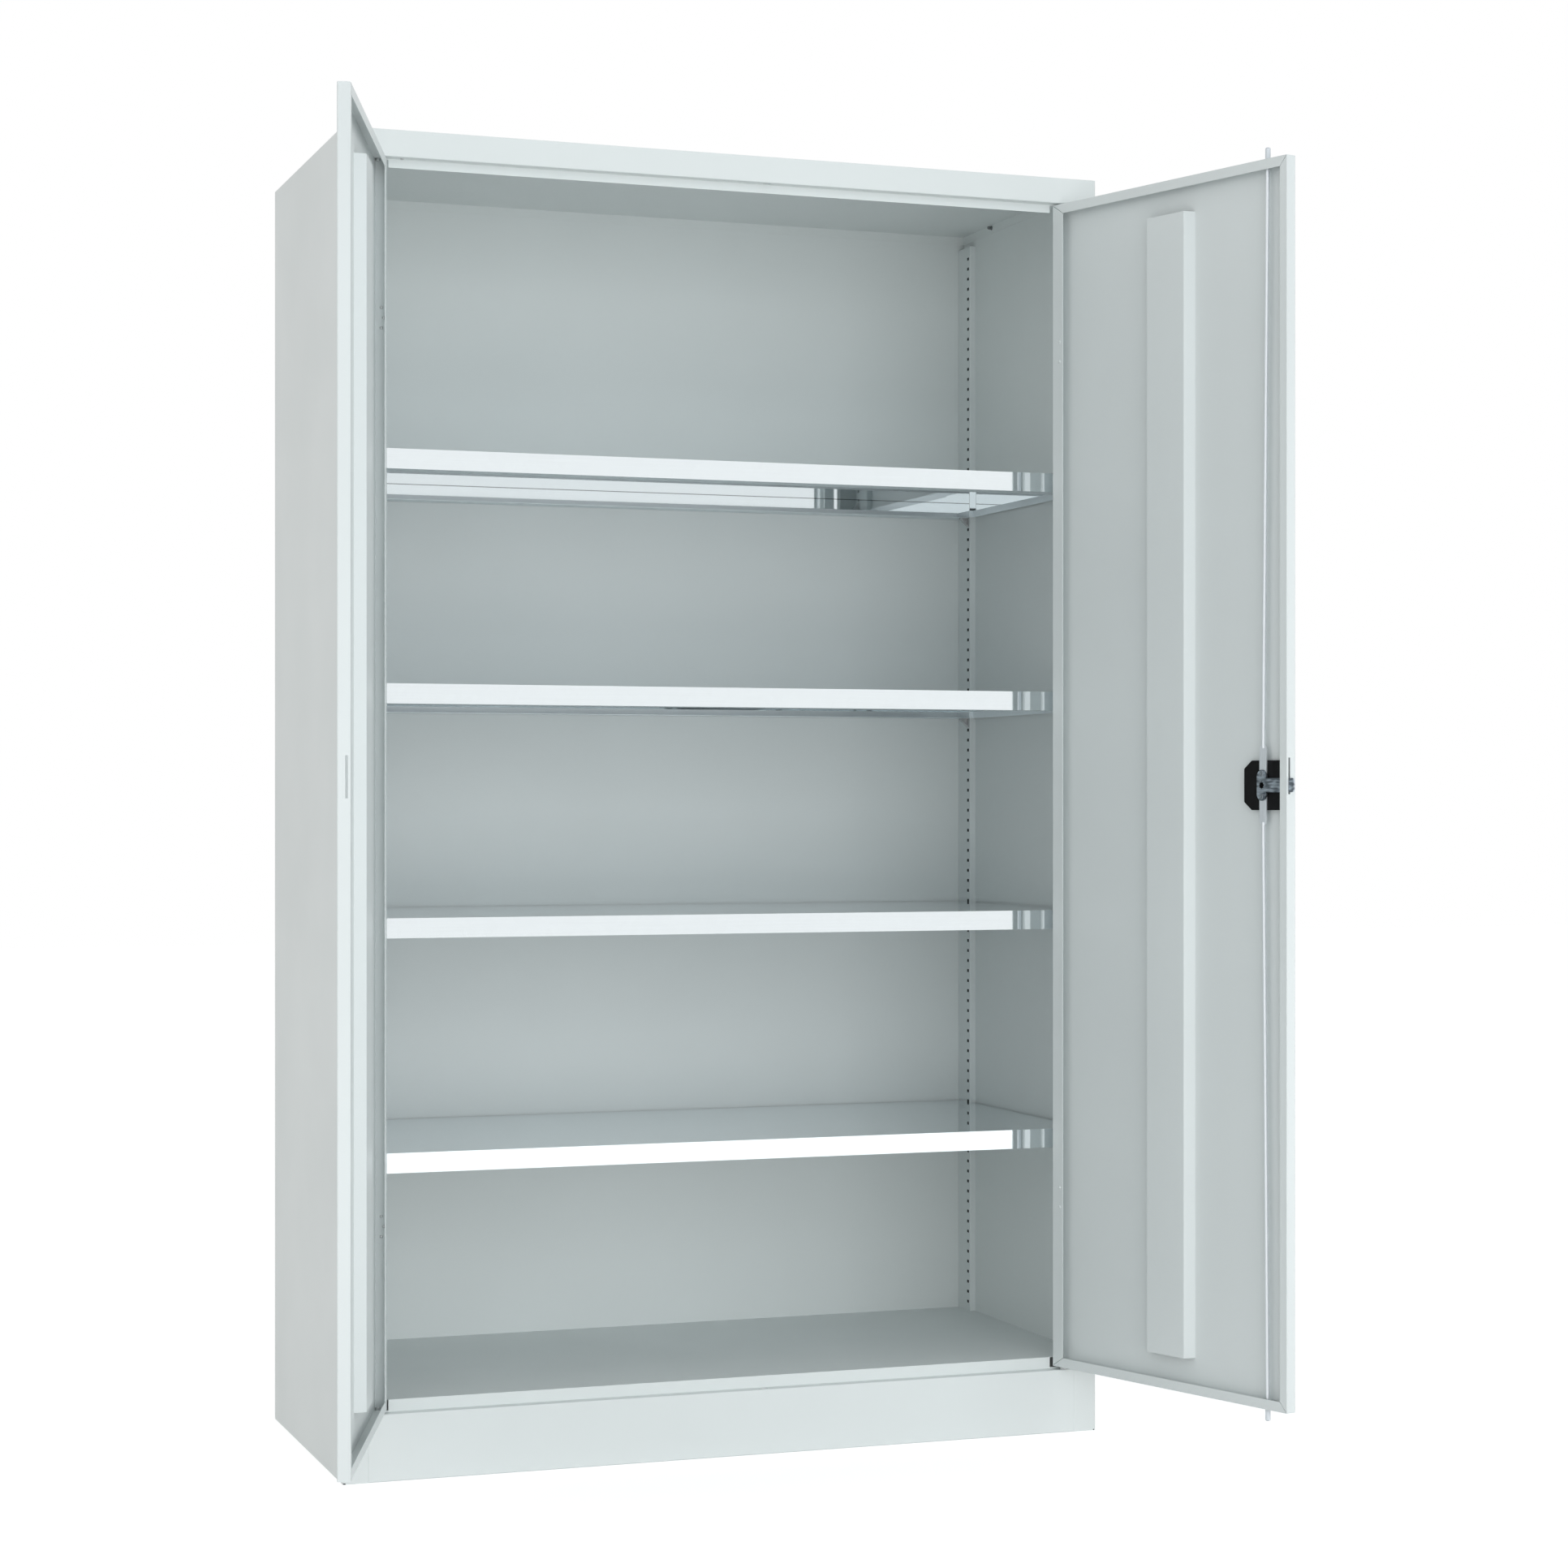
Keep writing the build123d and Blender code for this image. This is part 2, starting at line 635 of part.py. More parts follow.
def rivet_places(z):
    """The three staggered rivets of a plate."""
    return [
        (0, RIVET_Y, z + RIVET_PITCH),
        (0, RIVET_Y + RIVET_STAGGER, z),
        (0, RIVET_Y, z - RIVET_PITCH),
    ]


def lip_rivet_heights():
    """The two rivets in the right door's hinge lip."""
    upper = plate_heights()[0]
    return (upper + LIP_RIVET_PITCH / 2, upper - LIP_RIVET_PITCH / 2)


def hinge_plate(z):
    """A thin plate on the outside of the hinge edge."""
    plate = block((-SHEET, 0), (PLATE_FRONT, PLATE_BACK), (z - PLATE_LENGTH / 2, z + PLATE_LENGTH / 2))
    plate = fillet(plate.edges().filter_by(Axis.X), RIVET_RADIUS)
    for place in rivet_places(z):
        plate -= Pos(*place) * Rot(0, 90, 0) * Cylinder(RIVET_RADIUS + FIT, 2 * OVERRUN)
    return plate


def rivet(below):
    """A rivet with a bevelled head above zero height and its shank below."""
    head = round_bar(RIVET_HEAD_RADIUS, 0, RIVET_HEAD)
    head = chamfer(head.edges().sort_by(Axis.Z)[-1], RIVET_HEAD / 2)
    return head + round_bar(RIVET_RADIUS, -below, 0)


def hinge_rivets(with_lip):
    """All the rivets of one door."""
    rivets = []
    for z in plate_heights():
        for place in rivet_places(z):
            rivets.append(Pos(SHEET, place[1], place[2]) * Rot(0, 90, 0) * rivet(2 * SHEET))
    if with_lip:
        for z in lip_rivet_heights():
            rivets.append(Pos(LIP_RIVET_X, DOOR_DEPTH, z) * Rot(-90, 0, 0) * rivet(SHEET))
    return Compound(children=[part.solid() for part in rivets])


# Lock, in the right door's frame

def lock_case():
    """The moulded case behind the skin, its hinge-side corners cut back."""
    low = SPINDLE_Z - CASE_HALF_HEIGHT
    high = SPINDLE_Z + CASE_HALF_HEIGHT
    left = SPINDLE_X - CASE_HINGE_SIDE
    right = SPINDLE_X + CASE_FREE_SIDE
    outline = make_face(
        Polyline(
            (left + CASE_CUT_LONG, low),
            (right, low),
            (right, high),
            (left + CASE_CUT_LONG, high),
            (left, high - CASE_CUT_HIGH),
            (left, low + CASE_CUT_HIGH),
            close=True,
        )
    )
    outline = fillet(outline.vertices(), CASE_ROUND)
    case = Pos(0, SHEET, 0) * extrude(Plane.XZ * outline, -CASE_DEPTH)
    case = fillet(case.faces().sort_by(Axis.Y)[-1].edges(), CASE_EDGE_ROUND)
    return case - across_bar(JOURNAL_RADIUS + FIT, 0, DOOR_DEPTH, SPINDLE_X, SPINDLE_Z)


def rosette():
    """The round plate under the outside handle."""
    disc = across_bar(ROSETTE_RADIUS, -ROSETTE_THICK, 0, SPINDLE_X, SPINDLE_Z)
    disc = fillet(disc.edges().sort_by(Axis.Y)[0], ROSETTE_ROUND)
    return disc - across_bar(HUB_RADIUS + FIT, -2 * ROSETTE_THICK, ROSETTE_THICK, SPINDLE_X, SPINDLE_Z)


def square_bar(width, low, high):
    """A square bar along the spindle."""
    half = width / 2
    return block(
        (SPINDLE_X - half, SPINDLE_X + half), (low, high), (SPINDLE_Z - half, SPINDLE_Z + half)
    )


def outside_handle():
    """The turning grip, waisted in the middle, with its hub and the cylinder's seat."""
    outer = -GRIP_FROM_DOOR - GRIP_THICK
    end = GRIP_LENGTH / 2 - GRIP_WIDTH / 2
    ends = [Pos(0, z) * Circle(GRIP_WIDTH / 2) for z in (-end, end)]
    grip = ends[0] + ends[1] + Rectangle(GRIP_WAIST, 2 * end)
    grip = Pos(SPINDLE_X, SPINDLE_Z) * grip
    handle = Pos(0, -GRIP_FROM_DOOR, 0) * extrude(Plane.XZ * grip, GRIP_THICK)
    handle = fillet(handle.faces().sort_by(Axis.Y)[0].edges(), GRIP_ROUND)
    handle += across_bar(HUB_RADIUS, -GRIP_FROM_DOOR, SHEET, SPINDLE_X, SPINDLE_Z)
    seat_end = outer + CYLINDER_LENGTH
    handle -= across_bar(CYLINDER_RADIUS + FIT, outer - OVERRUN, seat_end, SPINDLE_X, SPINDLE_Z)
    return handle - square_bar(SQUARE + 2 * FIT, seat_end - FIT, DOOR_DEPTH)


def lock_cylinder():
    """The key cylinder in the middle of the grip."""
    outer = -GRIP_FROM_DOOR - GRIP_THICK
    body = across_bar(CYLINDER_RADIUS, outer, outer + CYLINDER_LENGTH - FIT, SPINDLE_X, SPINDLE_Z)
    rim = across_bar(CYLINDER_RIM_RADIUS, outer - CYLINDER_RIM, outer, SPINDLE_X, SPINDLE_Z)
    half = KEY_SLOT_WIDTH / 2
    key_slot = block(
        (SPINDLE_X - half, SPINDLE_X + half),
        (outer - OVERRUN, outer + KEY_SLOT_DEPTH),
        (SPINDLE_Z - KEY_SLOT_LENGTH / 2, SPINDLE_Z + KEY_SLOT_LENGTH / 2),
    )
    return body + rim - key_slot


def lock_spindle():
    """The square spindle with its round journal in the case."""
    inner_end = -GRIP_FROM_DOOR - GRIP_THICK + CYLINDER_LENGTH
    journal = across_bar(JOURNAL_RADIUS, SHEET, CASE_BACK, SPINDLE_X, SPINDLE_Z)
    return journal + square_bar(SQUARE, inner_end, CAM_BACK)


def pin_heights():
    """The heights of the upper and the lower cam pin with the bolts thrown."""
    return (SPINDLE_Z + CAM_RADIUS, SPINDLE_Z - CAM_RADIUS)


def lock_cam():
    """The T-shaped cam: an upright plate that works the rods and an arm that is the bolt."""
    upright = SlotOverall(2 * CAM_HALF_HEIGHT, 2 * CAM_HALF_WIDTH, rotation=90)
    arm_length = DOOR_WIDTH + ARM_REACH - SPINDLE_X
    arm = Pos(arm_length / 2, 0) * Rectangle(arm_length, 2 * ARM_HALF_WIDTH)
    arm = fillet(arm.vertices().group_by(Axis.X)[-1], ARM_ROUND)
    star = [Rectangle(SQUARE + 2 * FIT, SQUARE + 2 * FIT, rotation=turn) for turn in (0, 45)]
    outline = upright + arm - star
    plate = Pos(SPINDLE_X, CAM_FRONT, SPINDLE_Z) * extrude(Plane.XZ * outline, -CAM_THICK)
    for z in pin_heights():
        plate -= across_bar(CAM_PIN_RADIUS, 0, DOOR_DEPTH, SPINDLE_X, z)
    return plate


def cam_pins():
    """The two riveted pins that drive the rods."""
    pins = []
    for z in pin_heights():
        shank = across_bar(CAM_PIN_RADIUS, FLAT_FRONT, CAM_BACK, SPINDLE_X, z)
        head = across_bar(CAM_PIN_HEAD_RADIUS, CAM_BACK, CAM_BACK + CAM_PIN_HEAD, SPINDLE_X, z)
        pins.append(shank + head)
    return Compound(children=[part.solid() for part in pins])


def rod_length(door_end, pin_z):
    """From the cam pin to the end of the tip."""
    return abs(door_end - pin_z) + ROD_OUT


def rod(length):
    """A rod that stands on its pin at the origin, its lower end pressed flat."""
    flat_middle = (ROD_FLAT_LENGTH - ROD_FLAT_HALF_WIDTH) / 2
    outline = Pos(0, flat_middle) * SlotOverall(
        ROD_FLAT_LENGTH + ROD_FLAT_HALF_WIDTH, 2 * ROD_FLAT_HALF_WIDTH, rotation=90
    )
    outline -= Circle(CAM_PIN_RADIUS + FIT)
    flat = extrude(Plane.XZ * outline, FLAT_THICK / 2, both=True)
    return flat + round_bar(ROD_RADIUS, CASE_HALF_HEIGHT + ROD_CASE_GAP, length - TIP_WALL_END)


def rod_tip(length):
    """The plastic cap on the end of a rod."""
    cap = round_bar(TIP_RADIUS, length - TIP_LENGTH, length)
    cap = chamfer(cap.edges().sort_by(Axis.Z)[-1], TIP_WALL_END / 2)
    return cap - round_bar(ROD_RADIUS, length - TIP_LENGTH - OVERRUN, length - TIP_WALL_END)


def upper(piece):
    """Puts a rod piece on the upper cam pin, leaning to its guide hole."""
    return Pos(SPINDLE_X, ROD_Y, pin_heights()[0]) * Rot(0, LEAN_THROWN, 0) * piece


def lower(piece):
    """Puts a rod piece under the lower cam pin, leaning to its guide hole."""
    return Pos(SPINDLE_X, ROD_Y, pin_heights()[1]) * Rot(0, 180 - LEAN_BELOW_THROWN, 0) * piece


# Assembly

def hang_left(piece):
    """Carries a piece from the door's frame to the left door, swung open."""
    closed = Pos(-DOOR_X, 0, 0) * piece
    return closed.rotate(Axis((-HINGE_X, PIVOT_Y, 0), (0, 0, 1)), -OPEN_ANGLE)


def hang_right(piece):
    """Carries a piece from the door's frame to the right door, swung open."""
    return mirror(hang_left(piece), about=Plane.YZ)


def cabinet_nodes():
    """Everything that stands still."""
    nodes = {
        "back_panel": back_panel(),
        "top_panel": top_panel(),
        "floor_panel": floor_panel(),
        "header_rail": header_rail(),
        "plinth_rail": plinth(),
        "left_header_button": header_button(),
    }
    pairs = {
        "side_panel": both_sides(left_side()),
        "top_bush": both_sides(top_bush()),
        "bottom_bush": both_sides(bottom_bush()),
    }
    for name, (left, right) in pairs.items():
        nodes["left_" + name] = left
        nodes["right_" + name] = right
    corners = ("left_front", "right_front", "left_rear", "right_rear")
    nodes.update({corner + "_glide": piece for corner, piece in zip(corners, corner_glides())})
    nodes.update({corner + "_strip": piece for corner, piece in zip(corners, strips())})
    tray = shelf()
    for number, row in enumerate(SHELF_HOLES, start=1):
        nodes[f"shelf_{number}"] = Pos(0, 0, shelf_z(row)) * tray
        nodes[f"shelf_{number}_clips"] = shelf_clips(shelf_z(row))
    return nodes


def door_nodes():
    """Both doors with their stiffeners, plates and pins."""
    upper_z, lower_z = plate_heights()
    alike = {
        "door_stiffener": stiffener(),
        "upper_hinge_plate": hinge_plate(upper_z),
        "lower_hinge_plate": hinge_plate(lower_z),
        "top_pin": top_pin(),
        "bottom_pin": bottom_pin(),
    }
    nodes = {
        "left_door_panel": hang_left(left_pan()),
        "right_door_panel": hang_right(right_pan()),
        "left_hinge_rivets": hang_left(hinge_rivets(False)),
        "right_hinge_rivets": hang_right(hinge_rivets(True)),
    }
    for name, piece in alike.items():
        nodes["left_" + name] = hang_left(piece)
        nodes["right_" + name] = hang_right(piece)
    return nodes


def lock_nodes():
    """The lock on the right door, with its bolts thrown."""
    up = rod_length(DOOR_TOP, pin_heights()[0])
    down = rod_length(DOOR_BOTTOM, pin_heights()[1])
    pieces = {
        "lock_case": lock_case(),
        "handle_rosette": rosette(),
        "outside_handle": outside_handle(),
        "lock_spindle": lock_spindle(),
        "lock_cam_plate": lock_cam(),
        "lock_cam_pins": cam_pins(),
        "lock_cylinder": lock_cylinder(),
        "upper_rod": upper(rod(up)),
        "upper_rod_tip": upper(rod_tip(up)),
        "lower_rod": lower(rod(down)),
        "lower_rod_tip": lower(rod_tip(down)),
    }
    return {name: hang_right(piece) for name, piece in pieces.items()}


def main():
    """Builds every node and writes one file for each."""
    os.makedirs("parts", exist_ok=True)
    for name, shape in {**cabinet_nodes(), **door_nodes(), **lock_nodes()}.items():
        export_step(shape, f"parts/{name}.step")


if __name__ == "__main__":
    main()
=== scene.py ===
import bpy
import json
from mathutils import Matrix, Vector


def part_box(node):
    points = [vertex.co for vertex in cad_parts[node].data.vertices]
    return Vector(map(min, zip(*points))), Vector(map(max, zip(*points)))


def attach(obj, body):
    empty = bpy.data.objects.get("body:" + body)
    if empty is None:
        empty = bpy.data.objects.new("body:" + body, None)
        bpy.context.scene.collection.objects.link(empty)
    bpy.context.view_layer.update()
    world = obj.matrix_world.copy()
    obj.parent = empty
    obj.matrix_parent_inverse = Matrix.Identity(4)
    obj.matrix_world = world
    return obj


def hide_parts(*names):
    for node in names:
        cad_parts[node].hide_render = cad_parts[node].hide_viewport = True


bl_info = {
    "name": "Steel storage cabinet",
    "version": (1, 0, 0),
    "blender": (4, 5, 0),
    "location": "3D View > Sidebar > Cabinet",
    "description": "Finishes, small fittings and studio for a two-door steel storage cabinet",
    "category": "Object",
}

import json
import math

import bmesh
import bpy
from bpy.props import FloatProperty, FloatVectorProperty, IntProperty, PointerProperty
from mathutils import Matrix, Vector

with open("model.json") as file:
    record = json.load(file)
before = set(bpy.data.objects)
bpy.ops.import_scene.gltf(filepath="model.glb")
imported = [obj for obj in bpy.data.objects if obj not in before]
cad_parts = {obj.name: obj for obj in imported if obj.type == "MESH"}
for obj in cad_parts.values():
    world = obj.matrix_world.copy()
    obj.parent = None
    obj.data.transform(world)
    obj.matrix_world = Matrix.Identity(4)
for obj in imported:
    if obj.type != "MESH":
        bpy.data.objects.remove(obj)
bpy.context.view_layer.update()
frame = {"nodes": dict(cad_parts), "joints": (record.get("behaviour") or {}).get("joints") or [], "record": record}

PHOTO_PIXELS = 1932
SENSOR = 36.0
WHITE = (1.0, 1.0, 1.0)

# The doors' own frames: u from the hinge edge, v from the front face, z up
JOINTS = {joint["name"]: joint for joint in frame["joints"]}
OPEN_ANGLE = math.radians(JOINTS["left_door_hinge"]["range_deg"][1])
PIVOT_U = 0.0125
PIVOT_V = 0.006


def door_point(side, u, v, z):
    """A point of an open door in the row frame. side is -1 for the left door and 1 for the right."""
    pivot = Vector(JOINTS["left_door_hinge"]["pos_m"])
    x = u - PIVOT_U
    y = v - PIVOT_V
    turned_x = x * math.cos(OPEN_ANGLE) + y * math.sin(OPEN_ANGLE)
    turned_y = y * math.cos(OPEN_ANGLE) - x * math.sin(OPEN_ANGLE)
    return Vector((-side * (pivot.x + turned_x), pivot.y + turned_y, z))


def door_matrix(side):
    """The matrix that carries door coordinates u, v, z to the row frame."""
    origin = door_point(side, 0, 0, 0)
    along_u = door_point(side, 1, 0, 0) - origin
    along_v = door_point(side, 0, 1, 0) - origin
    matrix = Matrix((along_u, along_v, Vector((0, 0, 1)))).transposed().to_4x4()
    matrix.translation = origin
    return matrix


# Properties

def length(name, description, default):
    """A length that a user may change, in metres."""
    return FloatProperty(
        name=name, description=description, default=default, min=0.0, precision=4,
        unit="LENGTH", subtype="DISTANCE",
    )


def share(name, description, default):
    """A number from 0 to 1."""
    return FloatProperty(
        name=name, description=description, default=default, min=0.0, max=1.0, subtype="FACTOR"
    )


def colour(name, description, default):
    """A linear colour."""
    return FloatVectorProperty(
        name=name, description=description, default=default, min=0.0, max=1.0, size=3, subtype="COLOR"
    )


def position(name, description, default):
    """A point in the row frame."""
    return FloatVectorProperty(
        name=name, description=description, default=default, size=3, precision=4,
        subtype="TRANSLATION", unit="LENGTH",
    )


def extent(name, description, default):
    """Two sides of a rectangle, in metres."""
    return FloatVectorProperty(
        name=name, description=description, default=default, size=2, min=0.0, unit="LENGTH"
    )


def watts(name, description, default):
    """The power of a lamp."""
    return FloatProperty(name=name, description=description, default=default, min=0.0, subtype="POWER")


def pixels(name, description, default):
    """A length or place in the photograph."""
    return FloatProperty(name=name, description=description, default=default, min=0.0, subtype="PIXEL")


def level(name, description, default):
    """A strength of light."""
    return FloatProperty(name=name, description=description, default=default, min=0.0)


class CabinetFinishes(bpy.types.PropertyGroup):
    """Colours and surface qualities."""

    body_colour: colour("Body paint", "Powder coat of the shell", (0.750, 0.787, 0.780))
    door_colour: colour("Door paint", "Powder coat of the doors", (0.745, 0.783, 0.780))
    strip_colour: colour("Strip paint", "Powder coat of the perforated strips", (0.740, 0.780, 0.775))
    paint_roughness: share("Paint roughness", "How matt the powder coat is", 0.42)
    paint_peel: length("Peel size", "Width of one bump of the coat's fine texture", 0.0016)
    paint_peel_height: length("Peel height", "Height of the coat's fine texture", 0.00004)
    # Painted shade: a near-black colour painted inside the hollows behind the perforated strips, where shade falls
    hollow_shade_colour: colour("Painted hollow shade", "Near-black painted shade in the hollows behind the strips", (0.020, 0.021, 0.022))
    shelf_colour: colour("Shelf metal", "Bright galvanised sheet", (0.820, 0.872, 0.892))
    shelf_roughness: share("Shelf roughness", "How blurred the shelf's reflections are", 0.015)
    shelf_metallic: share("Shelf metal share", "How much of the zinc shines as metal", 0.90)
    shelf_spangle: length("Spangle", "Width of one zinc crystal", 0.012)
    fold_height: length("Fold height", "How high the dull low folds of a shelf reach", 0.0115)
    # Painted shade: the height of a darker band painted along each shelf's rear crease
    crease_shade_height: length("Crease height", "Height of the dark rear crease in a shelf", 0.0282)
    zinc_colour: colour("Zinc", "Plated small parts", (0.640, 0.650, 0.650))
    screw_colour: colour("Screw steel", "Dull steel of the roof screws", (0.260, 0.265, 0.270))
    cam_colour: colour("Cam steel", "Dull plated lock plate", (0.350, 0.380, 0.410))
    score_pitch: length("Line pitch", "Width of a drawn line of the lock plate", 0.0042)
    rod_colour: colour("Rod steel", "Plated lock rods", (0.830, 0.860, 0.890))
    black_colour: colour("Black plastic", "Lock case, handle and rosette", (0.005, 0.005, 0.0055))
    glide_colour: colour("Glide plastic", "Corner glides", (0.015, 0.015, 0.016))
    tip_colour: colour("Tip plastic", "Caps of the rods", (0.680, 0.715, 0.750))
    bush_colour: colour("Bush plastic", "Pivot bushes and buttons", (0.520, 0.530, 0.530))
    chrome_colour: colour("Chrome", "Face of the key cylinder", (0.780, 0.780, 0.790))


class CabinetFittings(bpy.types.PropertyGroup):
    """Sizes of the small fittings, measured in the doors' own frames."""

    rivet_radius: length("Rivet head", "Radius of a rivet's head", 0.0026)
    rivet_height: length("Rivet height", "Height of a rivet's head", 0.0012)
    shank_radius: length("Rivet shank", "Radius of a rivet's shank", 0.0016)
    shank_length: length("Shank length", "Length of a rivet's shank through sheet and plate", 0.002)
    upper_plate_z: length("Upper plate", "Height of the middle of the upper hinge plate", 1.723)
    lower_plate_z: length("Lower plate", "Height of the middle of the lower hinge plate", 0.376)
    rivet_pitch: length("Rivet pitch", "Height between two rivets of a plate", 0.015)
    rivet_v: length("Rivet depth", "How far the outer rivets lie behind the door's face", 0.010)
    rivet_stagger: length("Rivet stagger", "How far the middle rivet is set back", 0.0035)
    lip_rivet_u: length("Lip rivet", "How far the lip's rivets lie from the hinge edge", 0.017)
    lip_rivet_pitch: length("Lip rivet pitch", "Height between the lip's two rivets", 0.031)
    seam_width: length("Seam width", "Width and depth of the filled groove beside a post's bend", 0.0022)
    seam_overlap: length("Seam overlap", "How far the filler laps onto a rail", 0.0001)
    seam_proud: length("Seam build-up", "How far the header's filler stands proud", 0.00003)
    plinth_groove: length("Plinth groove", "Depth of the groove left at the plinth's ends", 0.0005)
    header_lip: length("Header lip", "Height of the door stop under the header's face", 0.013)
    plinth_face: length("Plinth face", "Height of the plinth's face", 0.100)
    screw_radius: length("Roof screw", "Radius of a roof screw's end", 0.0026)
    screw_length: length("Roof screw length", "How far a roof screw's end stands out", 0.0075)
    washer_radius: length("Roof washer", "Radius of a roof screw's washer", 0.0036)
    washer_thick: length("Roof washer thickness", "Thickness of a roof screw's washer", 0.001)
    screw_place: position("Roof screw place", "Where the right roof screw stands", (0.598, 0.458, 1.9945))
    door_depth: length("Door depth", "Thickness of the door", 0.018)
    sheet: length("Sheet", "Thickness of the sheet", 0.001)
    spindle_u: length("Spindle place", "How far the spindle lies from the hinge edge", 0.498)
    spindle_z: length("Spindle height", "Height of the spindle", 1.030)
    cam_radius: length("Cam radius", "From the spindle to a cam pin", 0.017)
    cam_back_v: length("Cam face", "How far the cam's inner face lies behind the door's face", 0.0141)
    flat_front_v: length("Rod face", "How far the flattened rod ends lie behind the door's face", 0.0096)
    pin_radius: length("Cam pin", "Radius of a cam pin", 0.0025)
    pin_head_radius: length("Cam pin head", "Radius of a cam pin's head", 0.004)
    pin_head: length("Cam pin head height", "Height of a cam pin's head", 0.001)
    grip_length: length("Grip length", "Length of the turning grip", 0.108)
    grip_width: length("Grip width", "Width of the grip at its ends", 0.026)
    grip_waist: length("Grip waist", "Width of the grip in its middle", 0.021)
    grip_inner_v: length("Grip stand-off", "How far the grip stands in front of the door", 0.008)
    grip_thick: length("Grip thickness", "Thickness of the grip", 0.018)
    hub_radius: length("Hub", "Radius of the handle's hub", 0.010)
    cylinder_radius: length("Cylinder", "Radius of the key cylinder", 0.007)
    cylinder_rim_radius: length("Cylinder rim", "Radius of the key cylinder's rim", 0.008)
    cylinder_rim: length("Rim height", "How far the cylinder stands proud of the grip", 0.001)
    cylinder_length: length("Cylinder length", "Length of the key cylinder", 0.01995)
    key_slot_length: length("Key slot", "Length of the key slot", 0.008)
    key_slot_width: length("Key slot width", "Width of the key slot", 0.0016)
    round_steps: IntProperty(
        name="Round steps", description="Sides of a turned piece", default=40, min=8, max=96
    )


class CabinetStudio(bpy.types.PropertyGroup):
    """Camera, lamps and floor."""

    camera_place: position("Camera place", "Where the camera stands", (-1.5478, -5.1322, 1.0010))
    camera_yaw: FloatProperty(
        name="Camera yaw", description="How far the view turns to the right of straight ahead",
        default=math.radians(22.044), subtype="ANGLE",
    )
    focal_pixels: pixels("Focal length", "Focal length in photo pixels", 4281.7)
    centre_x: pixels("Centre column", "Photo column of the optical axis", 1300.0)
    centre_y: pixels("Centre row", "Photo row of the optical axis", 991.6)
    sky_level: level("Sky level", "Ambient light on matt surfaces", 0.58)
    sky_colour: colour("Sky colour", "Colour of the ambient light", (0.985, 1.0, 0.995))
    front_colour: colour("Front lamp colour", "Colour of the front lamp", (0.93, 0.97, 1.0))
    high_colour: colour("High lamp colour", "Colour of the high lamp", (0.80, 0.92, 1.0))
    front_power: watts("Front lamp", "Power of the wide lamp in front", 97.0)
    front_place: position("Front lamp place", "Middle of the front lamp", (1.2, -6.2, 1.5))
    front_size: extent("Front lamp size", "Width and height of the front lamp", (6.0, 2.8))
    high_power: watts("High lamp", "Power of the lamp high in front", 72.0)
    high_place: position("High lamp place", "Middle of the high lamp", (0.8, -6.2, 4.2))
    high_size: extent("High lamp size", "Width and height of the high lamp", (8.0, 3.6))
    side_power: watts("Side lamp", "Power of the lamp on the left", 50.0)
    side_place: position("Side lamp place", "Middle of the side lamp", (-6.5, -2.2, 2.1))
    side_size: extent("Side lamp size", "Width and height of the side lamp", (6.0, 4.0))
    low_power: watts("Low lamp", "Power of the lamp close to the floor", 14.0)
    low_place: position("Low lamp place", "Middle of the low lamp", (0.4, -2.6, 0.35))
    low_size: extent("Low lamp size", "Width and height of the low lamp", (4.0, 0.6))
    floor_size: length("Floor size", "Side of the square floor", 40.0)
    floor_colour: colour("Floor colour", "Colour of the floor", (0.80, 0.80, 0.80))
    floor_glow: level("Floor glow", "White that the camera sees added to the floor", 0.55)


# Node helpers

def new_material(name):
    """A node material, as (material, tree, shader)."""
    material = bpy.data.materials.new(name)
    material.use_nodes = True
    tree = material.node_tree
    return material, tree, tree.nodes["Principled BSDF"]


def feed(tree, socket, value):
    """Links a socket to another one, or sets its value."""
    if isinstance(value, bpy.types.NodeSocket):
        tree.links.new(value, socket)
    elif socket.type == "RGBA":
        socket.default_value = (*value, 1.0)
    else:
        socket.default_value = value


def feed_named(tree, node, inputs):
    """Feeds a node's sockets by their names."""
    for name, value in inputs.items():
        feed(tree, node.inputs[name], value)


def add_node(tree, kind, label, inputs=None, **fields):
    """A labelled node with its fields and its named inputs set."""
    node = tree.nodes.new(kind)
    node.label = label
    for field, value in fields.items():
        setattr(node, field, value)
    feed_named(tree, node, inputs or {})
    return node


def arithmetic(tree, operation, label, *values):
    """The result of a Math node. Its values are sockets or numbers."""
    node = add_node(tree, "ShaderNodeMath", label, operation=operation)
    for socket, value in zip(node.inputs, values):
        feed(tree, socket, value)
    return node.outputs["Value"]


def combined(tree, operation, label, values):
    """One value from several, taken two at a time."""
    whole = values[0]
    for value in values[1:]:
        whole = arithmetic(tree, operation, label, whole, value)
    return whole


def mixed(tree, label, factor, first, second, blend="MIX"):
    """A mix of two colours, each a socket or three numbers."""
    node = add_node(tree, "ShaderNodeMix", label, data_type="RGBA", blend_type=blend)
    colours = [socket for socket in node.inputs if socket.type == "RGBA"]
    feed(tree, node.inputs["Factor"], factor)
    feed(tree, colours[0], first)
    feed(tree, colours[1], second)
    return [socket for socket in node.outputs if socket.type == "RGBA"][0]


def object_coordinates(tree, turn=0.0, stretch=(1.0, 1.0, 1.0)):
    """Object coordinates, turned about the upright axis and stretched."""
    source = add_node(tree, "ShaderNodeTexCoord", "Object coordinates")
    mapping = add_node(tree, "ShaderNodeMapping", "Turn and stretch", {
        "Vector": source.outputs["Object"], "Rotation": (0.0, 0.0, turn), "Scale": stretch,
    })
    return mapping.outputs["Vector"]


def along_axes(tree, vector):
    """The X, Y and Z of a vector."""
    return add_node(tree, "ShaderNodeSeparateXYZ", "Along the axes", {"Vector": vector}).outputs


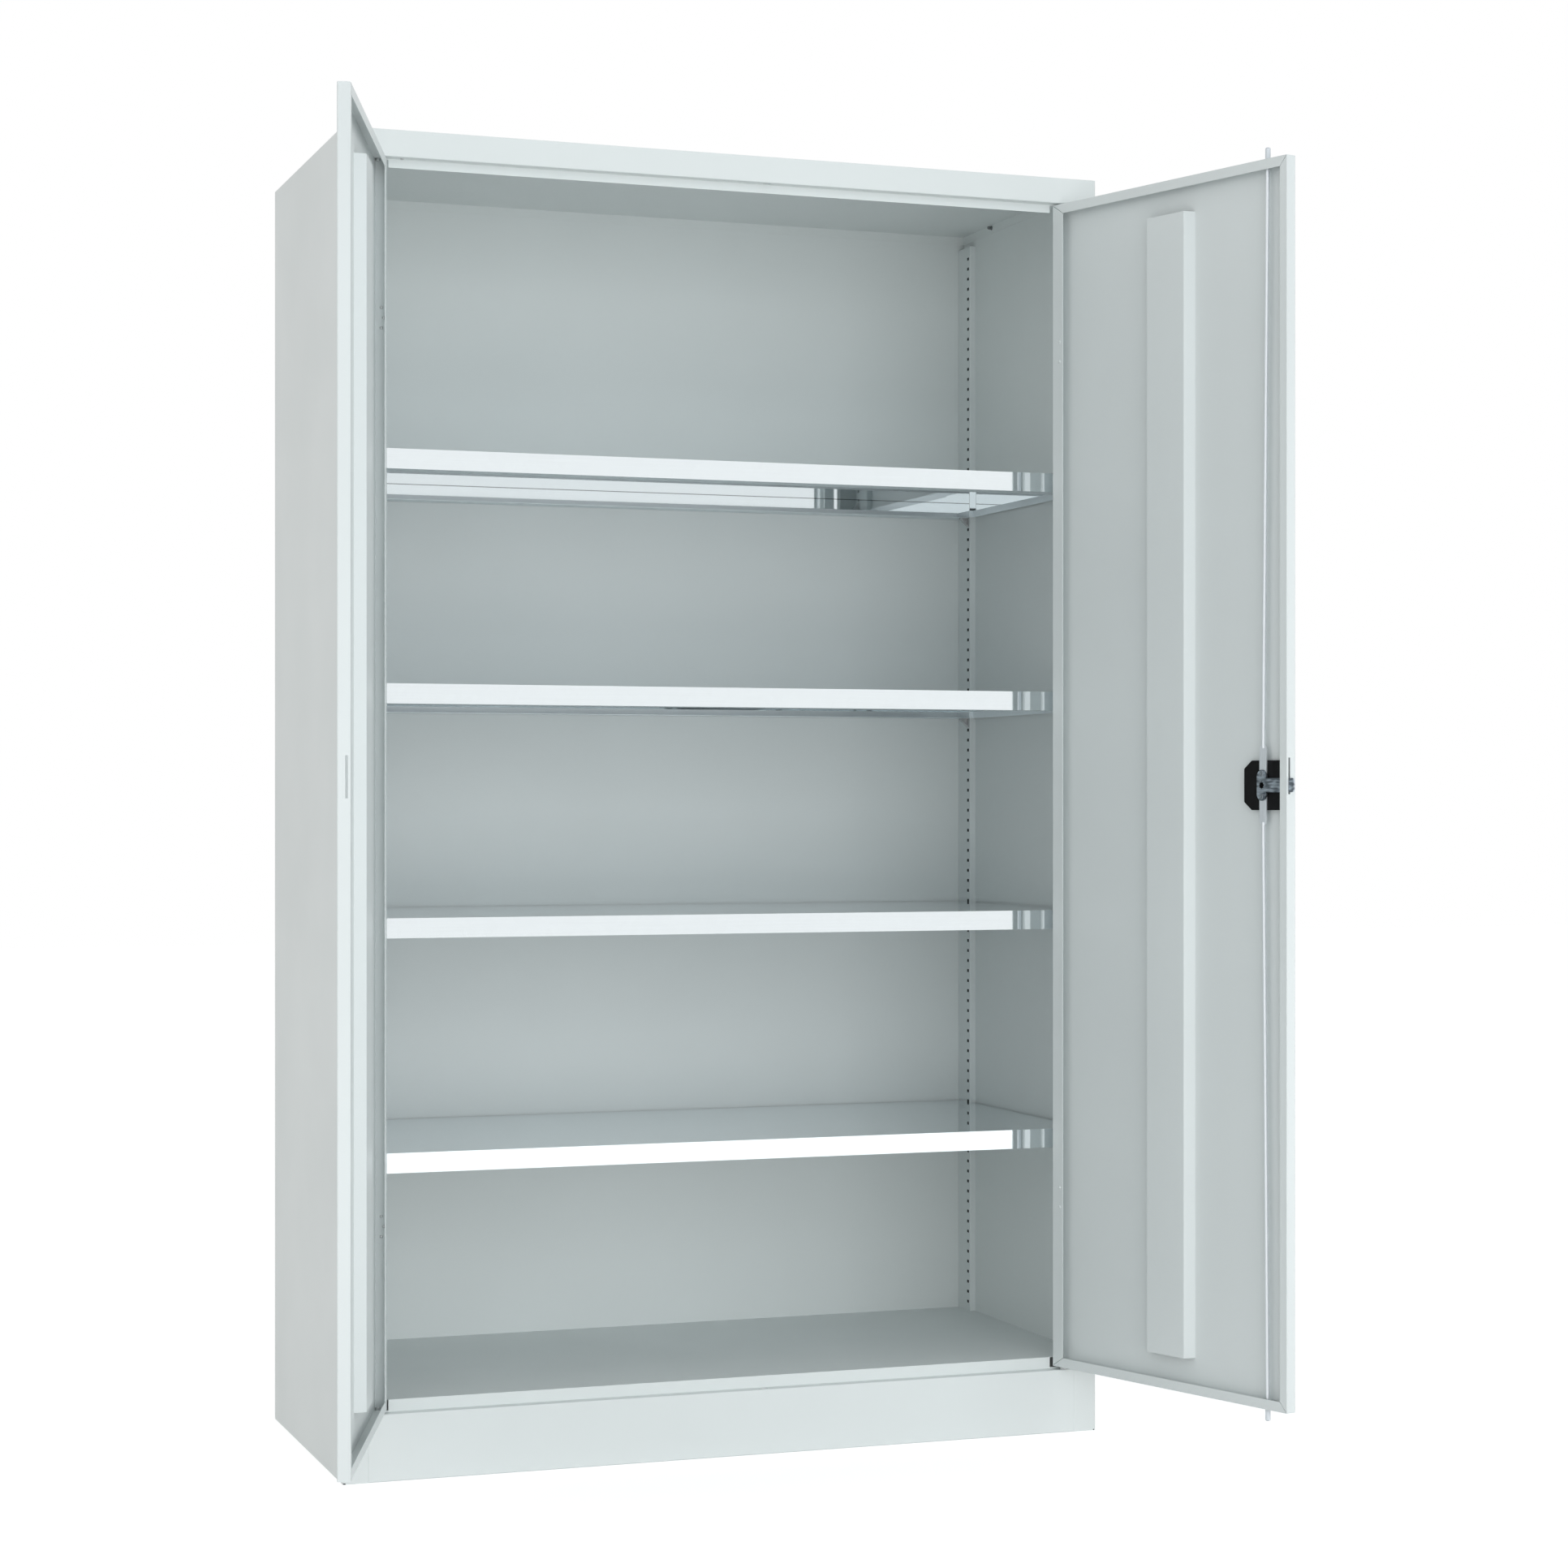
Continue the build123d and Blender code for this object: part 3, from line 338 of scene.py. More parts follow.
def noise(tree, vector, label, scale, detail=2.0, roughness=0.5):
    """The value of a noise texture. scale is in waves to the metre."""
    return add_node(tree, "ShaderNodeTexNoise", label, {
        "Vector": vector, "Scale": scale, "Detail": detail, "Roughness": roughness,
    }).outputs["Fac"]


def spread(tree, value, label, low=0.0, high=1.0, low_in=0.25, high_in=0.75):
    """A value stretched to the range from low to high."""
    return add_node(tree, "ShaderNodeMapRange", label, {
        "Value": value, "From Min": low_in, "From Max": high_in, "To Min": low, "To Max": high,
    }).outputs["Result"]


def bump(tree, height, label, distance, strength=1.0):
    """The normal of a bump of the given height."""
    inputs = {"Height": height, "Distance": distance, "Strength": strength}
    return add_node(tree, "ShaderNodeBump", label, inputs).outputs["Normal"]


def between(tree, value, label, low, high):
    """One where a value lies between two limits, else zero."""
    above = arithmetic(tree, "GREATER_THAN", label + ", above", value, low)
    below = arithmetic(tree, "LESS_THAN", label + ", below", value, high)
    return arithmetic(tree, "MULTIPLY", label, above, below)


def seen_rays(tree):
    """One for rays from the camera, from gloss and through glass, else zero."""
    path = add_node(tree, "ShaderNodeLightPath", "Kind of ray").outputs
    kinds = [path[name] for name in ("Is Camera Ray", "Is Glossy Ray", "Is Transmission Ray")]
    return combined(tree, "MAXIMUM", "Seen", kinds)


def tinted(rgb, factor):
    """A colour made lighter or darker."""
    return tuple(min(1.0, channel * factor) for channel in rgb)


# Finishes

def powder_coat(name, rgb, finishes):
    """Satin powder coat: a fine peel, pigment specks and a slow drift of colour and sheen."""
    specks_in_drift = 0.35
    specular = 0.45
    material, tree, shader = new_material(name)
    vector = object_coordinates(tree)
    drift = noise(tree, vector, "Slow colour drift", scale=2.3, detail=3.0)
    speck_size = 0.6 * finishes.paint_peel
    speck = noise(tree, vector, "Pigment speck", scale=1.0 / speck_size, detail=1.0)
    both = arithmetic(tree, "MULTIPLY_ADD", "Drift and speck", speck, specks_in_drift, drift)
    factor = spread(tree, both, "Shade", low_in=0.40, high_in=0.95)
    darker = tinted(rgb, 0.975)
    lighter = tinted(rgb, 1.02)
    sheen = noise(tree, vector, "Uneven sheen", scale=6.0, detail=4.0, roughness=0.6)
    smoother = finishes.paint_roughness - 0.05
    rougher = finishes.paint_roughness + 0.07
    peel = noise(tree, vector, "Orange peel", scale=1.0 / finishes.paint_peel, roughness=0.45)
    feed_named(tree, shader, {
        "Base Color": mixed(tree, "Paint", factor, darker, lighter),
        "Roughness": spread(tree, sheen, "Roughness", smoother, rougher),
        "Normal": bump(tree, peel, "Peel", finishes.paint_peel_height),
        "Specular IOR Level": specular,
    })
    return material


def painted_hollow_shade(material, boxes, rgb):
    """Painted shade: the given dark colour in place of the coat inside the given boxes, where shade falls in the
    hollows.
    """
    tree = material.node_tree
    paint = tree.nodes["Principled BSDF"].inputs["Base Color"]
    painted = paint.links[0].from_socket
    axes = along_axes(tree, object_coordinates(tree))
    hollows = []
    for low, high in boxes:
        sides = [between(tree, axes[axis], "Hollow", low[axis], high[axis]) for axis in range(3)]
        hollows.append(combined(tree, "MULTIPLY", "In one hollow", sides))
    shaded_hollow = combined(tree, "MAXIMUM", "In a hollow", hollows)
    # Painted shade: the dark colour replaces the coat inside any of the hollows
    feed(tree, paint, mixed(tree, "Painted shade in the hollow", shaded_hollow, painted, rgb))


def galvanised(name, finishes, low, high, sheet):
    """Bright zinc with faint crystals, dull in a shelf's low folds, with painted shade darkening its rear crease.

    low and high are the corners of the shelf's box.
    """
    rolling = (2.0, 90.0, 160.0)
    crystals_in_streaks = 0.25
    # Painted shade: share of the zinc's colour left in the rear crease
    painted_crease_shade = 0.45
    fold_roughness = 0.45
    rgb = finishes.shelf_colour
    material, tree, shader = new_material(name)
    vector = object_coordinates(tree)
    crystals = add_node(tree, "ShaderNodeTexVoronoi", "Zinc crystals", {
        "Vector": vector, "Scale": 1.0 / finishes.shelf_spangle,
    })
    grey = add_node(tree, "ShaderNodeSeparateColor", "Crystal shade", {"Color": crystals.outputs["Color"]})
    along_sheet = object_coordinates(tree, stretch=rolling)
    streaks = noise(tree, along_sheet, "Rolling streaks", scale=3.0, detail=3.0)
    both = arithmetic(
        tree, "MULTIPLY_ADD", "Crystals and streaks", grey.outputs["Red"], crystals_in_streaks, streaks
    )
    factor = spread(tree, both, "Shade", low_in=0.35, high_in=1.0)
    zinc = mixed(tree, "Zinc", factor, tinted(rgb, 0.985), tinted(rgb, 1.015))
    smooth = finishes.shelf_roughness
    gloss = spread(tree, both, "Gloss", smooth, smooth + 0.02, low_in=0.4, high_in=1.1)

    axes = along_axes(tree, vector)
    depth = axes["Y"]
    height = arithmetic(tree, "SUBTRACT", "Height over the underside", axes["Z"], low[2])
    behind = between(tree, depth, "Behind the front edge", low[1] + sheet / 2, high[1] + sheet)
    near_floor = between(tree, height, "Low folds", -sheet, finishes.fold_height)
    fold = arithmetic(tree, "MULTIPLY", "Dull folds", behind, near_floor)
    # Painted shade: a darker band along the rear wall just under the top, where shade falls in the crease
    at_back = between(tree, depth, "At the rear wall", high[1] - 3 * sheet, high[1] + sheet)
    crease_top = finishes.crease_shade_height + 2 * sheet
    under_top = between(tree, height, "Under the top", finishes.crease_shade_height, crease_top)
    crease = arithmetic(tree, "MULTIPLY", "Rear crease", at_back, under_top)
    feed_named(tree, shader, {
        "Base Color": mixed(tree, "Darker crease", crease, zinc, tinted(rgb, painted_crease_shade)),
        "Metallic": finishes.shelf_metallic,
        "Roughness": arithmetic(tree, "MULTIPLY_ADD", "Roughness", fold, fold_roughness, gloss),
    })
    return material


def plated(name, rgb, roughness, stretch=(1.0, 1.0, 1.0), turn=0.0, streak=0.10, metallic=1.0):
    """Plated steel with fine streaks along the piece."""
    clouding_in_grain = 0.4
    grain_height = 0.00002
    material, tree, shader = new_material(name)
    along_piece = object_coordinates(tree, turn, stretch)
    grain = noise(tree, along_piece, "Drawn grain", scale=420.0, detail=3.0, roughness=0.6)
    cloud = noise(tree, object_coordinates(tree), "Clouding", scale=60.0, detail=3.0, roughness=0.6)
    both = arithmetic(tree, "MULTIPLY_ADD", "Grain and clouding", cloud, clouding_in_grain, grain)
    factor = spread(tree, both, "Shade", low_in=0.45, high_in=0.95)
    darker = tinted(rgb, 1.0 - 3.0 * streak)
    lighter = tinted(rgb, 1.0 + streak)
    smoother = roughness - 0.05
    rougher = roughness + 0.10
    feed_named(tree, shader, {
        "Base Color": mixed(tree, "Plating", factor, darker, lighter),
        "Metallic": metallic,
        "Roughness": spread(tree, both, "Roughness", smoother, rougher, low_in=0.45, high_in=0.95),
        "Normal": bump(tree, grain, "Grain", grain_height, strength=0.6),
    })
    return material


def score(material, turn, pitch):
    """Darker lines along an arm, as a drawn plate has."""
    drawn_out = (1.0, 0.012, 1.0)
    dark_line = (0.55, 0.57, 0.60)
    bright_line = (1.60, 1.62, 1.65)
    tree = material.node_tree
    base = tree.nodes["Principled BSDF"].inputs["Base Color"]
    plain = base.links[0].from_socket
    along_arm = object_coordinates(tree, turn, drawn_out)
    lines = noise(tree, along_arm, "Drawn lines", scale=1.0 / pitch, detail=1.0, roughness=0.3)
    factor = spread(tree, lines, "Line shade", low_in=0.40, high_in=0.62)
    tone = mixed(tree, "Lines", factor, dark_line, bright_line)
    feed(tree, base, mixed(tree, "Lines over the plating", 1.0, plain, tone, "MULTIPLY"))


def moulded(name, rgb, roughness, specular=0.5):
    """Moulded plastic with a fine spark-eroded grain."""
    grain_size = 0.0006
    grain_height = 0.00003
    material, tree, shader = new_material(name)
    vector = object_coordinates(tree)
    grain = noise(tree, vector, "Moulded grain", scale=1.0 / grain_size)
    cloud = noise(tree, vector, "Flow marks", scale=25.0, detail=3.0)
    darker = tinted(rgb, 0.90)
    lighter = tinted(rgb, 1.12)
    feed_named(tree, shader, {
        "Base Color": mixed(tree, "Plastic", spread(tree, cloud, "Shade"), darker, lighter),
        "Roughness": spread(tree, cloud, "Roughness", roughness - 0.05, roughness + 0.08),
        "Normal": bump(tree, grain, "Grain", grain_height, strength=0.7),
        "Specular IOR Level": specular,
    })
    return material


def strip_hollows(sheet):
    """The boxes of the hollows behind the perforated strips, with the wall's face."""
    bend = 2.5 * sheet
    boxes = []
    for node in nodes_with("strip_paint"):
        low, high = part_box(node)
        proud = min(abs(low[0]), abs(high[0])) + sheet / 4
        wall = max(abs(low[0]), abs(high[0])) + sheet / 2
        side = (proud, wall) if low[0] > 0 else (-wall, -proud)
        boxes.append(((side[0], low[1] + bend, low[2]), (side[1], high[1] - bend, high[2])))
    return boxes


def dress(material, *names):
    """Gives CAD nodes a material."""
    for name in names:
        mesh = frame["nodes"][name].data
        mesh.materials.clear()
        mesh.materials.append(material)


def nodes_with(slot):
    """The CAD nodes that the record gives this material slot."""
    return [part["node"] for part in frame["record"]["subparts"] if part["material_slot"] == slot]


# Meshes

def mesh_object(name, vertices, faces, material, smooth=True):
    """A new object at the origin from points in the row frame."""
    same_point = 0.000001
    mesh = bpy.data.meshes.new(name)
    mesh.from_pydata([tuple(point) for point in vertices], [], faces)
    clean = bmesh.new()
    clean.from_mesh(mesh)
    bmesh.ops.remove_doubles(clean, verts=clean.verts, dist=same_point)
    bmesh.ops.recalc_face_normals(clean, faces=clean.faces)
    clean.to_mesh(mesh)
    clean.free()
    for polygon in mesh.polygons:
        polygon.use_smooth = smooth
    mesh.materials.append(material)
    piece = bpy.data.objects.new(name, mesh)
    bpy.context.scene.collection.objects.link(piece)
    return piece


def tube_faces(rings, steps):
    """The faces between rings of points."""
    faces = []
    for ring in range(rings - 1):
        for step in range(steps):
            following = (step + 1) % steps
            low = ring * steps
            high = low + steps
            faces.append((low + step, low + following, high + following, high + step))
    return faces


def turned(profile, steps, carry):
    """The points and faces of a turned piece. profile holds radius and height, carry is its place."""
    vertices = []
    for radius, height in profile:
        for step in range(steps):
            angle = 2 * math.pi * step / steps
            vertices.append(carry @ Vector((radius * math.cos(angle), radius * math.sin(angle), height)))
    return vertices, tube_faces(len(profile), steps)


def joined(parts):
    """Several lists of points and faces as one."""
    vertices = []
    faces = []
    for some_vertices, some_faces in parts:
        start = len(vertices)
        vertices += some_vertices
        faces += [tuple(start + index for index in face) for face in some_faces]
    return vertices, faces


def bar(x_range, y_range, z_range):
    """The points and faces of a square-edged bar."""
    vertices = [Vector((x, y, z)) for z in z_range for y in y_range for x in x_range]
    faces = [(0, 1, 3, 2), (4, 6, 7, 5), (0, 4, 5, 1), (1, 5, 7, 3), (3, 7, 6, 2), (2, 6, 4, 0)]
    return vertices, faces


def sharpen(piece, angle=math.radians(35)):
    """Keeps edges sharper than the angle crisp."""
    sharp = bmesh.new()
    sharp.from_mesh(piece.data)
    for edge in sharp.edges:
        if len(edge.link_faces) == 2 and edge.calc_face_angle() > angle:
            edge.smooth = False
    sharp.to_mesh(piece.data)
    sharp.free()


def rivet_tree(material, sizes):
    """A node tree that sets a domed rivet on each point, along the point's axis."""
    segments = 24
    rings = 12
    shank_sides = 20
    rim = -0.001
    tree = bpy.data.node_groups.new("Rivets on points", "GeometryNodeTree")
    sockets = tree.interface
    sockets.new_socket("Geometry", in_out="INPUT", socket_type="NodeSocketGeometry")
    for name, size in sizes.items():
        socket = sockets.new_socket(name, in_out="INPUT", socket_type="NodeSocketFloat")
        socket.default_value = size
        socket.subtype = "DISTANCE"
    sockets.new_socket("Geometry", in_out="OUTPUT", socket_type="NodeSocketGeometry")
    given = add_node(tree, "NodeGroupInput", "Points and sizes").outputs

    def step(kind, label, inputs, output, **fields):
        return add_node(tree, kind, label, inputs, **fields).outputs[output]

    ball = step("GeometryNodeMeshUVSphere", "Ball", {
        "Segments": segments, "Rings": rings, "Radius": 1.0,
    }, "Mesh")
    point = step("GeometryNodeInputPosition", "Point", {}, "Position")
    below = step("FunctionNodeCompare", "Under the rim", {
        "A": along_axes(tree, point)["Z"], "B": rim,
    }, "Result", data_type="FLOAT", operation="LESS_THAN")
    half = step("GeometryNodeDeleteGeometry", "Upper half", {
        "Geometry": ball, "Selection": below,
    }, "Geometry", domain="POINT")
    proportions = step("ShaderNodeCombineXYZ", "Proportions of the head", {
        "X": given["Head Radius"], "Y": given["Head Radius"], "Z": given["Head Height"],
    }, "Vector")
    dome = step("GeometryNodeTransform", "Dome", {"Geometry": half, "Scale": proportions}, "Geometry")

    shank = step("GeometryNodeMeshCylinder", "Shank", {
        "Vertices": shank_sides, "Radius": given["Shank Radius"], "Depth": given["Shank Length"],
    }, "Mesh")
    lower = arithmetic(tree, "MULTIPLY", "Half the shank, down", given["Shank Length"], -0.5)
    drop = step("ShaderNodeCombineXYZ", "Drop", {"Z": lower}, "Vector")
    sunk = step("GeometryNodeTransform", "Sunk shank", {"Geometry": shank, "Translation": drop}, "Geometry")

    whole = add_node(tree, "GeometryNodeJoinGeometry", "Rivet")
    for part in (sunk, dome):
        tree.links.new(part, whole.inputs["Geometry"])
    axis = step("GeometryNodeInputNamedAttribute", "Axis", {
        "Name": "rivet_axis",
    }, "Attribute", data_type="FLOAT_VECTOR")
    aim = step("FunctionNodeAlignRotationToVector", "Aim", {"Vector": axis}, "Rotation", axis="Z")
    spots = step("GeometryNodeInstanceOnPoints", "Rivet on each point", {
        "Points": given["Geometry"], "Instance": whole.outputs["Geometry"], "Rotation": aim,
    }, "Instances")
    real = step("GeometryNodeRealizeInstances", "Real meshes", {"Geometry": spots}, "Geometry")
    smooth = step("GeometryNodeSetShadeSmooth", "Smooth", {"Geometry": real}, "Geometry")
    coat = step("GeometryNodeSetMaterial", "Finish", {"Geometry": smooth, "Material": material}, "Geometry")
    add_node(tree, "NodeGroupOutput", "Rivets", {"Geometry": coat})
    return tree


def rivets_on_points(name, spots, tree, sizes):
    """A plain mesh of rivets. spots holds pairs of place and axis."""
    carrier_mesh = bpy.data.meshes.new(name + "_points")
    carrier_mesh.from_pydata([tuple(place) for place, axis in spots], [], [])
    attribute = carrier_mesh.attributes.new("rivet_axis", "FLOAT_VECTOR", "POINT")
    attribute.data.foreach_set("vector", [number for place, axis in spots for number in axis])
    carrier = bpy.data.objects.new(name + "_points", carrier_mesh)
    bpy.context.scene.collection.objects.link(carrier)
    modifier = carrier.modifiers.new("Rivets", "NODES")
    modifier.node_group = tree
    for item in tree.interface.items_tree:
        if item.in_out == "INPUT" and item.name in sizes:
            modifier[item.identifier] = sizes[item.name]
    bpy.context.view_layer.update()
    evaluated = carrier.evaluated_get(bpy.context.evaluated_depsgraph_get())
    mesh = bpy.data.meshes.new_from_object(evaluated)
    mesh.name = name
    carrier.modifiers.remove(modifier)
    bpy.data.objects.remove(carrier)
    piece = bpy.data.objects.new(name, mesh)
    bpy.context.scene.collection.objects.link(piece)
    return piece


# Operators

class CABINET_OT_paint_shell(bpy.types.Operator):
    """Powder coat on the walls, rails, roof and floor panel"""

    bl_idname = "cabinet.paint_shell"
    bl_label = "Paint the shell"

    def execute(self, context):
        finishes = context.scene.cabinet_finishes
        dress(powder_coat("shell_powder_coat", finishes.body_colour, finishes), *nodes_with("body_paint"))
        sheet = context.scene.cabinet_fittings.sheet
        walls = powder_coat("wall_powder_coat", finishes.body_colour, finishes)
        # Painted shade: near-black colour on the wall inside the hollows behind the strips
        painted_hollow_shade(walls, strip_hollows(sheet), finishes.hollow_shade_colour)
        dress(walls, "left_side_panel", "right_side_panel")
        return {"FINISHED"}


class CABINET_OT_paint_doors(bpy.types.Operator):
    """Powder coat on both door pans and their stiffeners"""

    bl_idname = "cabinet.paint_doors"
    bl_label = "Paint the doors"

    def execute(self, context):
        finishes = context.scene.cabinet_finishes
        dress(powder_coat("door_powder_coat", finishes.door_colour, finishes), *nodes_with("door_paint"))
        return {"FINISHED"}


class CABINET_OT_finish_strips(bpy.types.Operator):
    """Powder coat on the perforated strips"""

    bl_idname = "cabinet.finish_strips"
    bl_label = "Paint the strips"

    def execute(self, context):
        finishes = context.scene.cabinet_finishes
        strips = powder_coat("strip_powder_coat", finishes.strip_colour, finishes)
        # Painted shade: near-black colour on the strips inside their hollows
        painted_hollow_shade(strips, strip_hollows(context.scene.cabinet_fittings.sheet), finishes.hollow_shade_colour)
        dress(strips, *nodes_with("strip_paint"))
        return {"FINISHED"}


class CABINET_OT_finish_shelves(bpy.types.Operator):
    """Bright galvanised sheet on the shelves and zinc on their clips"""

    bl_idname = "cabinet.finish_shelves"
    bl_label = "Finish the shelves"

    def execute(self, context):
        finishes = context.scene.cabinet_finishes
        sheet = context.scene.cabinet_fittings.sheet
        for node in nodes_with("galvanised_shelf"):
            low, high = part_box(node)
            dress(galvanised("galvanised_" + node, finishes, low, high, sheet), node)
        dress(plated("clip_zinc", finishes.zinc_colour, roughness=0.38), *nodes_with("zinc_clip"))
        return {"FINISHED"}


class CABINET_OT_finish_lock(bpy.types.Operator):
    """Plated cam and rods, black case and rosette, grey tips"""

    bl_idname = "cabinet.finish_lock"
    bl_label = "Finish the lock"

    def execute(self, context):
        finishes = context.scene.cabinet_finishes
        along_door = math.pi / 2 - OPEN_ANGLE
        along_arm = (1.0, 0.02, 1.0)
        upright = (1.0, 1.0, 0.03)
        cam = plated(
            "cam_plate_steel", finishes.cam_colour, roughness=0.40, stretch=along_arm, turn=along_door
        )
        score(cam, along_door, finishes.score_pitch)
        dress(cam, "lock_cam_plate")
        rods = plated(
            "rod_steel", finishes.rod_colour, roughness=0.50, stretch=upright, streak=0.02, metallic=0.7
        )
        dress(rods, "upper_rod", "lower_rod")
        case = moulded("lock_case_plastic", finishes.black_colour, roughness=0.50, specular=0.15)
        dress(case, "lock_case", "handle_rosette")
        tips = moulded("rod_tip_plastic", finishes.tip_colour, roughness=0.42)
        dress(tips, *nodes_with("tip_plastic"))
        spindle = plated("blackened_spindle", finishes.black_colour, roughness=0.45)
        dress(spindle, "lock_spindle")
        return {"FINISHED"}


class CABINET_OT_finish_small_parts(bpy.types.Operator):
    """Glides, bushes, buttons, pivot pins and hinge plates"""

    bl_idname = "cabinet.finish_small_parts"
    bl_label = "Finish the small parts"

    def execute(self, context):
        finishes = context.scene.cabinet_finishes
        glides = moulded("glide_plastic", finishes.glide_colour, roughness=0.50)
        dress(glides, *nodes_with("glide_plastic"))
        for slot in ("bush_plastic", "button_plastic"):
            dress(moulded(slot, finishes.bush_colour, roughness=0.42), *nodes_with(slot))
        dress(plated("fixing_zinc", finishes.zinc_colour, roughness=0.34), *nodes_with("zinc_fixing"))
        return {"FINISHED"}


class CABINET_OT_fit_rivets(bpy.types.Operator):
    """Domed rivets through the hinge plates and the lock door's lip"""

    bl_idname = "cabinet.fit_rivets"
    bl_label = "Fit the rivets"

    def execute(self, context):
        sizes = context.scene.cabinet_fittings
        finishes = context.scene.cabinet_finishes
        numbers = {
            "Head Radius": sizes.rivet_radius,
            "Head Height": sizes.rivet_height,
            "Shank Radius": sizes.shank_radius,
            "Shank Length": sizes.shank_length,
        }
        tree = rivet_tree(plated("rivet_zinc", finishes.zinc_colour, roughness=0.30), numbers)
        doors = ((-1, "left_door", "left_hinge_rivets"), (1, "right_door", "right_hinge_rivets"))
        for side, body, node in doors:
            inward = door_point(side, 1, 0, 0) - door_point(side, 0, 0, 0)
            spots = []
            for middle in (sizes.upper_plate_z, sizes.lower_plate_z):
                for step in (-1, 0, 1):
                    depth = sizes.rivet_v + (0.0 if step else sizes.rivet_stagger)
                    height = middle + step * sizes.rivet_pitch
                    spots.append((door_point(side, sizes.sheet, depth, height), inward))
            piece = rivets_on_points(node + "_domed", spots, tree, numbers)
            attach(piece, body)
            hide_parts(node)
        self.lip_rivets(sizes, rivet_tree(bpy.data.materials["door_powder_coat"], numbers), numbers)
        return {"FINISHED"}

    def lip_rivets(self, sizes, tree, numbers):
        """Painted rivets through the lock door's hinge lip, two at each plate."""
        outward = door_point(1, 0, 1, 0) - door_point(1, 0, 0, 0)
        spots = []
        for middle in (sizes.upper_plate_z, sizes.lower_plate_z):
            for step in (-0.5, 0.5):
                height = middle + step * sizes.lip_rivet_pitch
                spots.append((door_point(1, sizes.lip_rivet_u, sizes.door_depth, height), outward))
        piece = rivets_on_points("right_lip_rivets", spots, tree, numbers)
        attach(piece, "right_door")


class CABINET_OT_fill_seams(bpy.types.Operator):
    """Ground and painted weld seams between the posts and the rails"""

    bl_idname = "cabinet.fill_seams"
    bl_label = "Fill the seams"

    def execute(self, context):
        sizes = context.scene.cabinet_fittings
        low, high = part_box("header_rail")
        plinth_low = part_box("plinth_rail")[0]
        parts = []
        deep = sizes.seam_width
        header_heights = (low[2] + sizes.header_lip, high[2])
        plinth_heights = (plinth_low[2], sizes.plinth_face)
        for side in (-1, 1):
            across = (side * (high[0] - sizes.seam_overlap), side * (high[0] + deep))
            parts.append(bar(across, (-sizes.seam_proud, deep), header_heights))
            parts.append(bar(across, (sizes.plinth_groove, deep), plinth_heights))
        paint = bpy.data.materials["shell_powder_coat"]
        seams = mesh_object("weld_seams", *joined(parts), paint, smooth=False)
        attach(seams, "cabinet")
        return {"FINISHED"}


class CABINET_OT_fit_roof_screws(bpy.types.Operator):
    """The dark end of a screw through each side flange of the roof, with its washer"""

    bl_idname = "cabinet.fit_roof_screws"
    bl_label = "Fit the roof screws"

    def execute(self, context):
        sizes = context.scene.cabinet_fittings
        finishes = context.scene.cabinet_finishes
        radius = sizes.screw_radius
        reach = sizes.screw_length
        washer = sizes.washer_thick
        tip_radius = 0.75 * radius
        shoulder = 0.88 * reach
        stub = [
            (0.0, reach),
            (tip_radius, reach),
            (radius, shoulder),
            (radius, washer),
            (sizes.washer_radius, washer),
            (sizes.washer_radius, 0.0),
            (radius, 0.0),
            (radius, -sizes.sheet),
            (0.0, -sizes.sheet),
        ]
        x, y, z = sizes.screw_place
        parts = []
        for side in (-1, 1):
            facing = Matrix.Rotation(-side * math.pi / 2, 4, "Y")
            spot = Matrix.Translation(Vector((side * x, y, z)))
            parts.append(turned(stub, sizes.round_steps, spot @ facing))
        steel = plated("screw_steel", finishes.screw_colour, roughness=0.40)
        piece = mesh_object("roof_screws", *joined(parts), steel)
        sharpen(piece)
        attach(piece, "cabinet")
        return {"FINISHED"}


class CABINET_OT_fit_cam_pins(bpy.types.Operator):
    """The two drive pins of the cam, with dished peened heads"""

    bl_idname = "cabinet.fit_cam_pins"
    bl_label = "Fit the cam pins"

    def execute(self, context):
        sizes = context.scene.cabinet_fittings
        finishes = context.scene.cabinet_finishes
        dished_head = (
            (0.0, 0.45),
            (0.30, 0.50),
            (0.42, 0.85),
            (0.55, 1.0),
            (0.85, 0.92),
            (0.98, 0.60),
            (1.0, 0.30),
            (1.0, 0.0),
        )
        shank = sizes.cam_back_v - sizes.flat_front_v
        profile = [(sizes.pin_head_radius * across, sizes.pin_head * up) for across, up in dished_head]
        profile += [(sizes.pin_radius, 0.0), (sizes.pin_radius, -shank), (0.0, -shank)]
        parts = []
        for step in (-1, 1):
            spot = Vector((sizes.spindle_u, sizes.cam_back_v, sizes.spindle_z + step * sizes.cam_radius))
            upright = Matrix.Rotation(-math.pi / 2, 4, "X")
            carry = door_matrix(1) @ Matrix.Translation(spot) @ upright
            parts.append(turned(profile, sizes.round_steps, carry))
        steel = plated("pin_steel", finishes.cam_colour, roughness=0.30)
        pins = mesh_object("cam_pins_peened", *joined(parts), steel)
        sharpen(pins)
        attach(pins, "handle")
        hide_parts("lock_cam_pins")
        return {"FINISHED"}


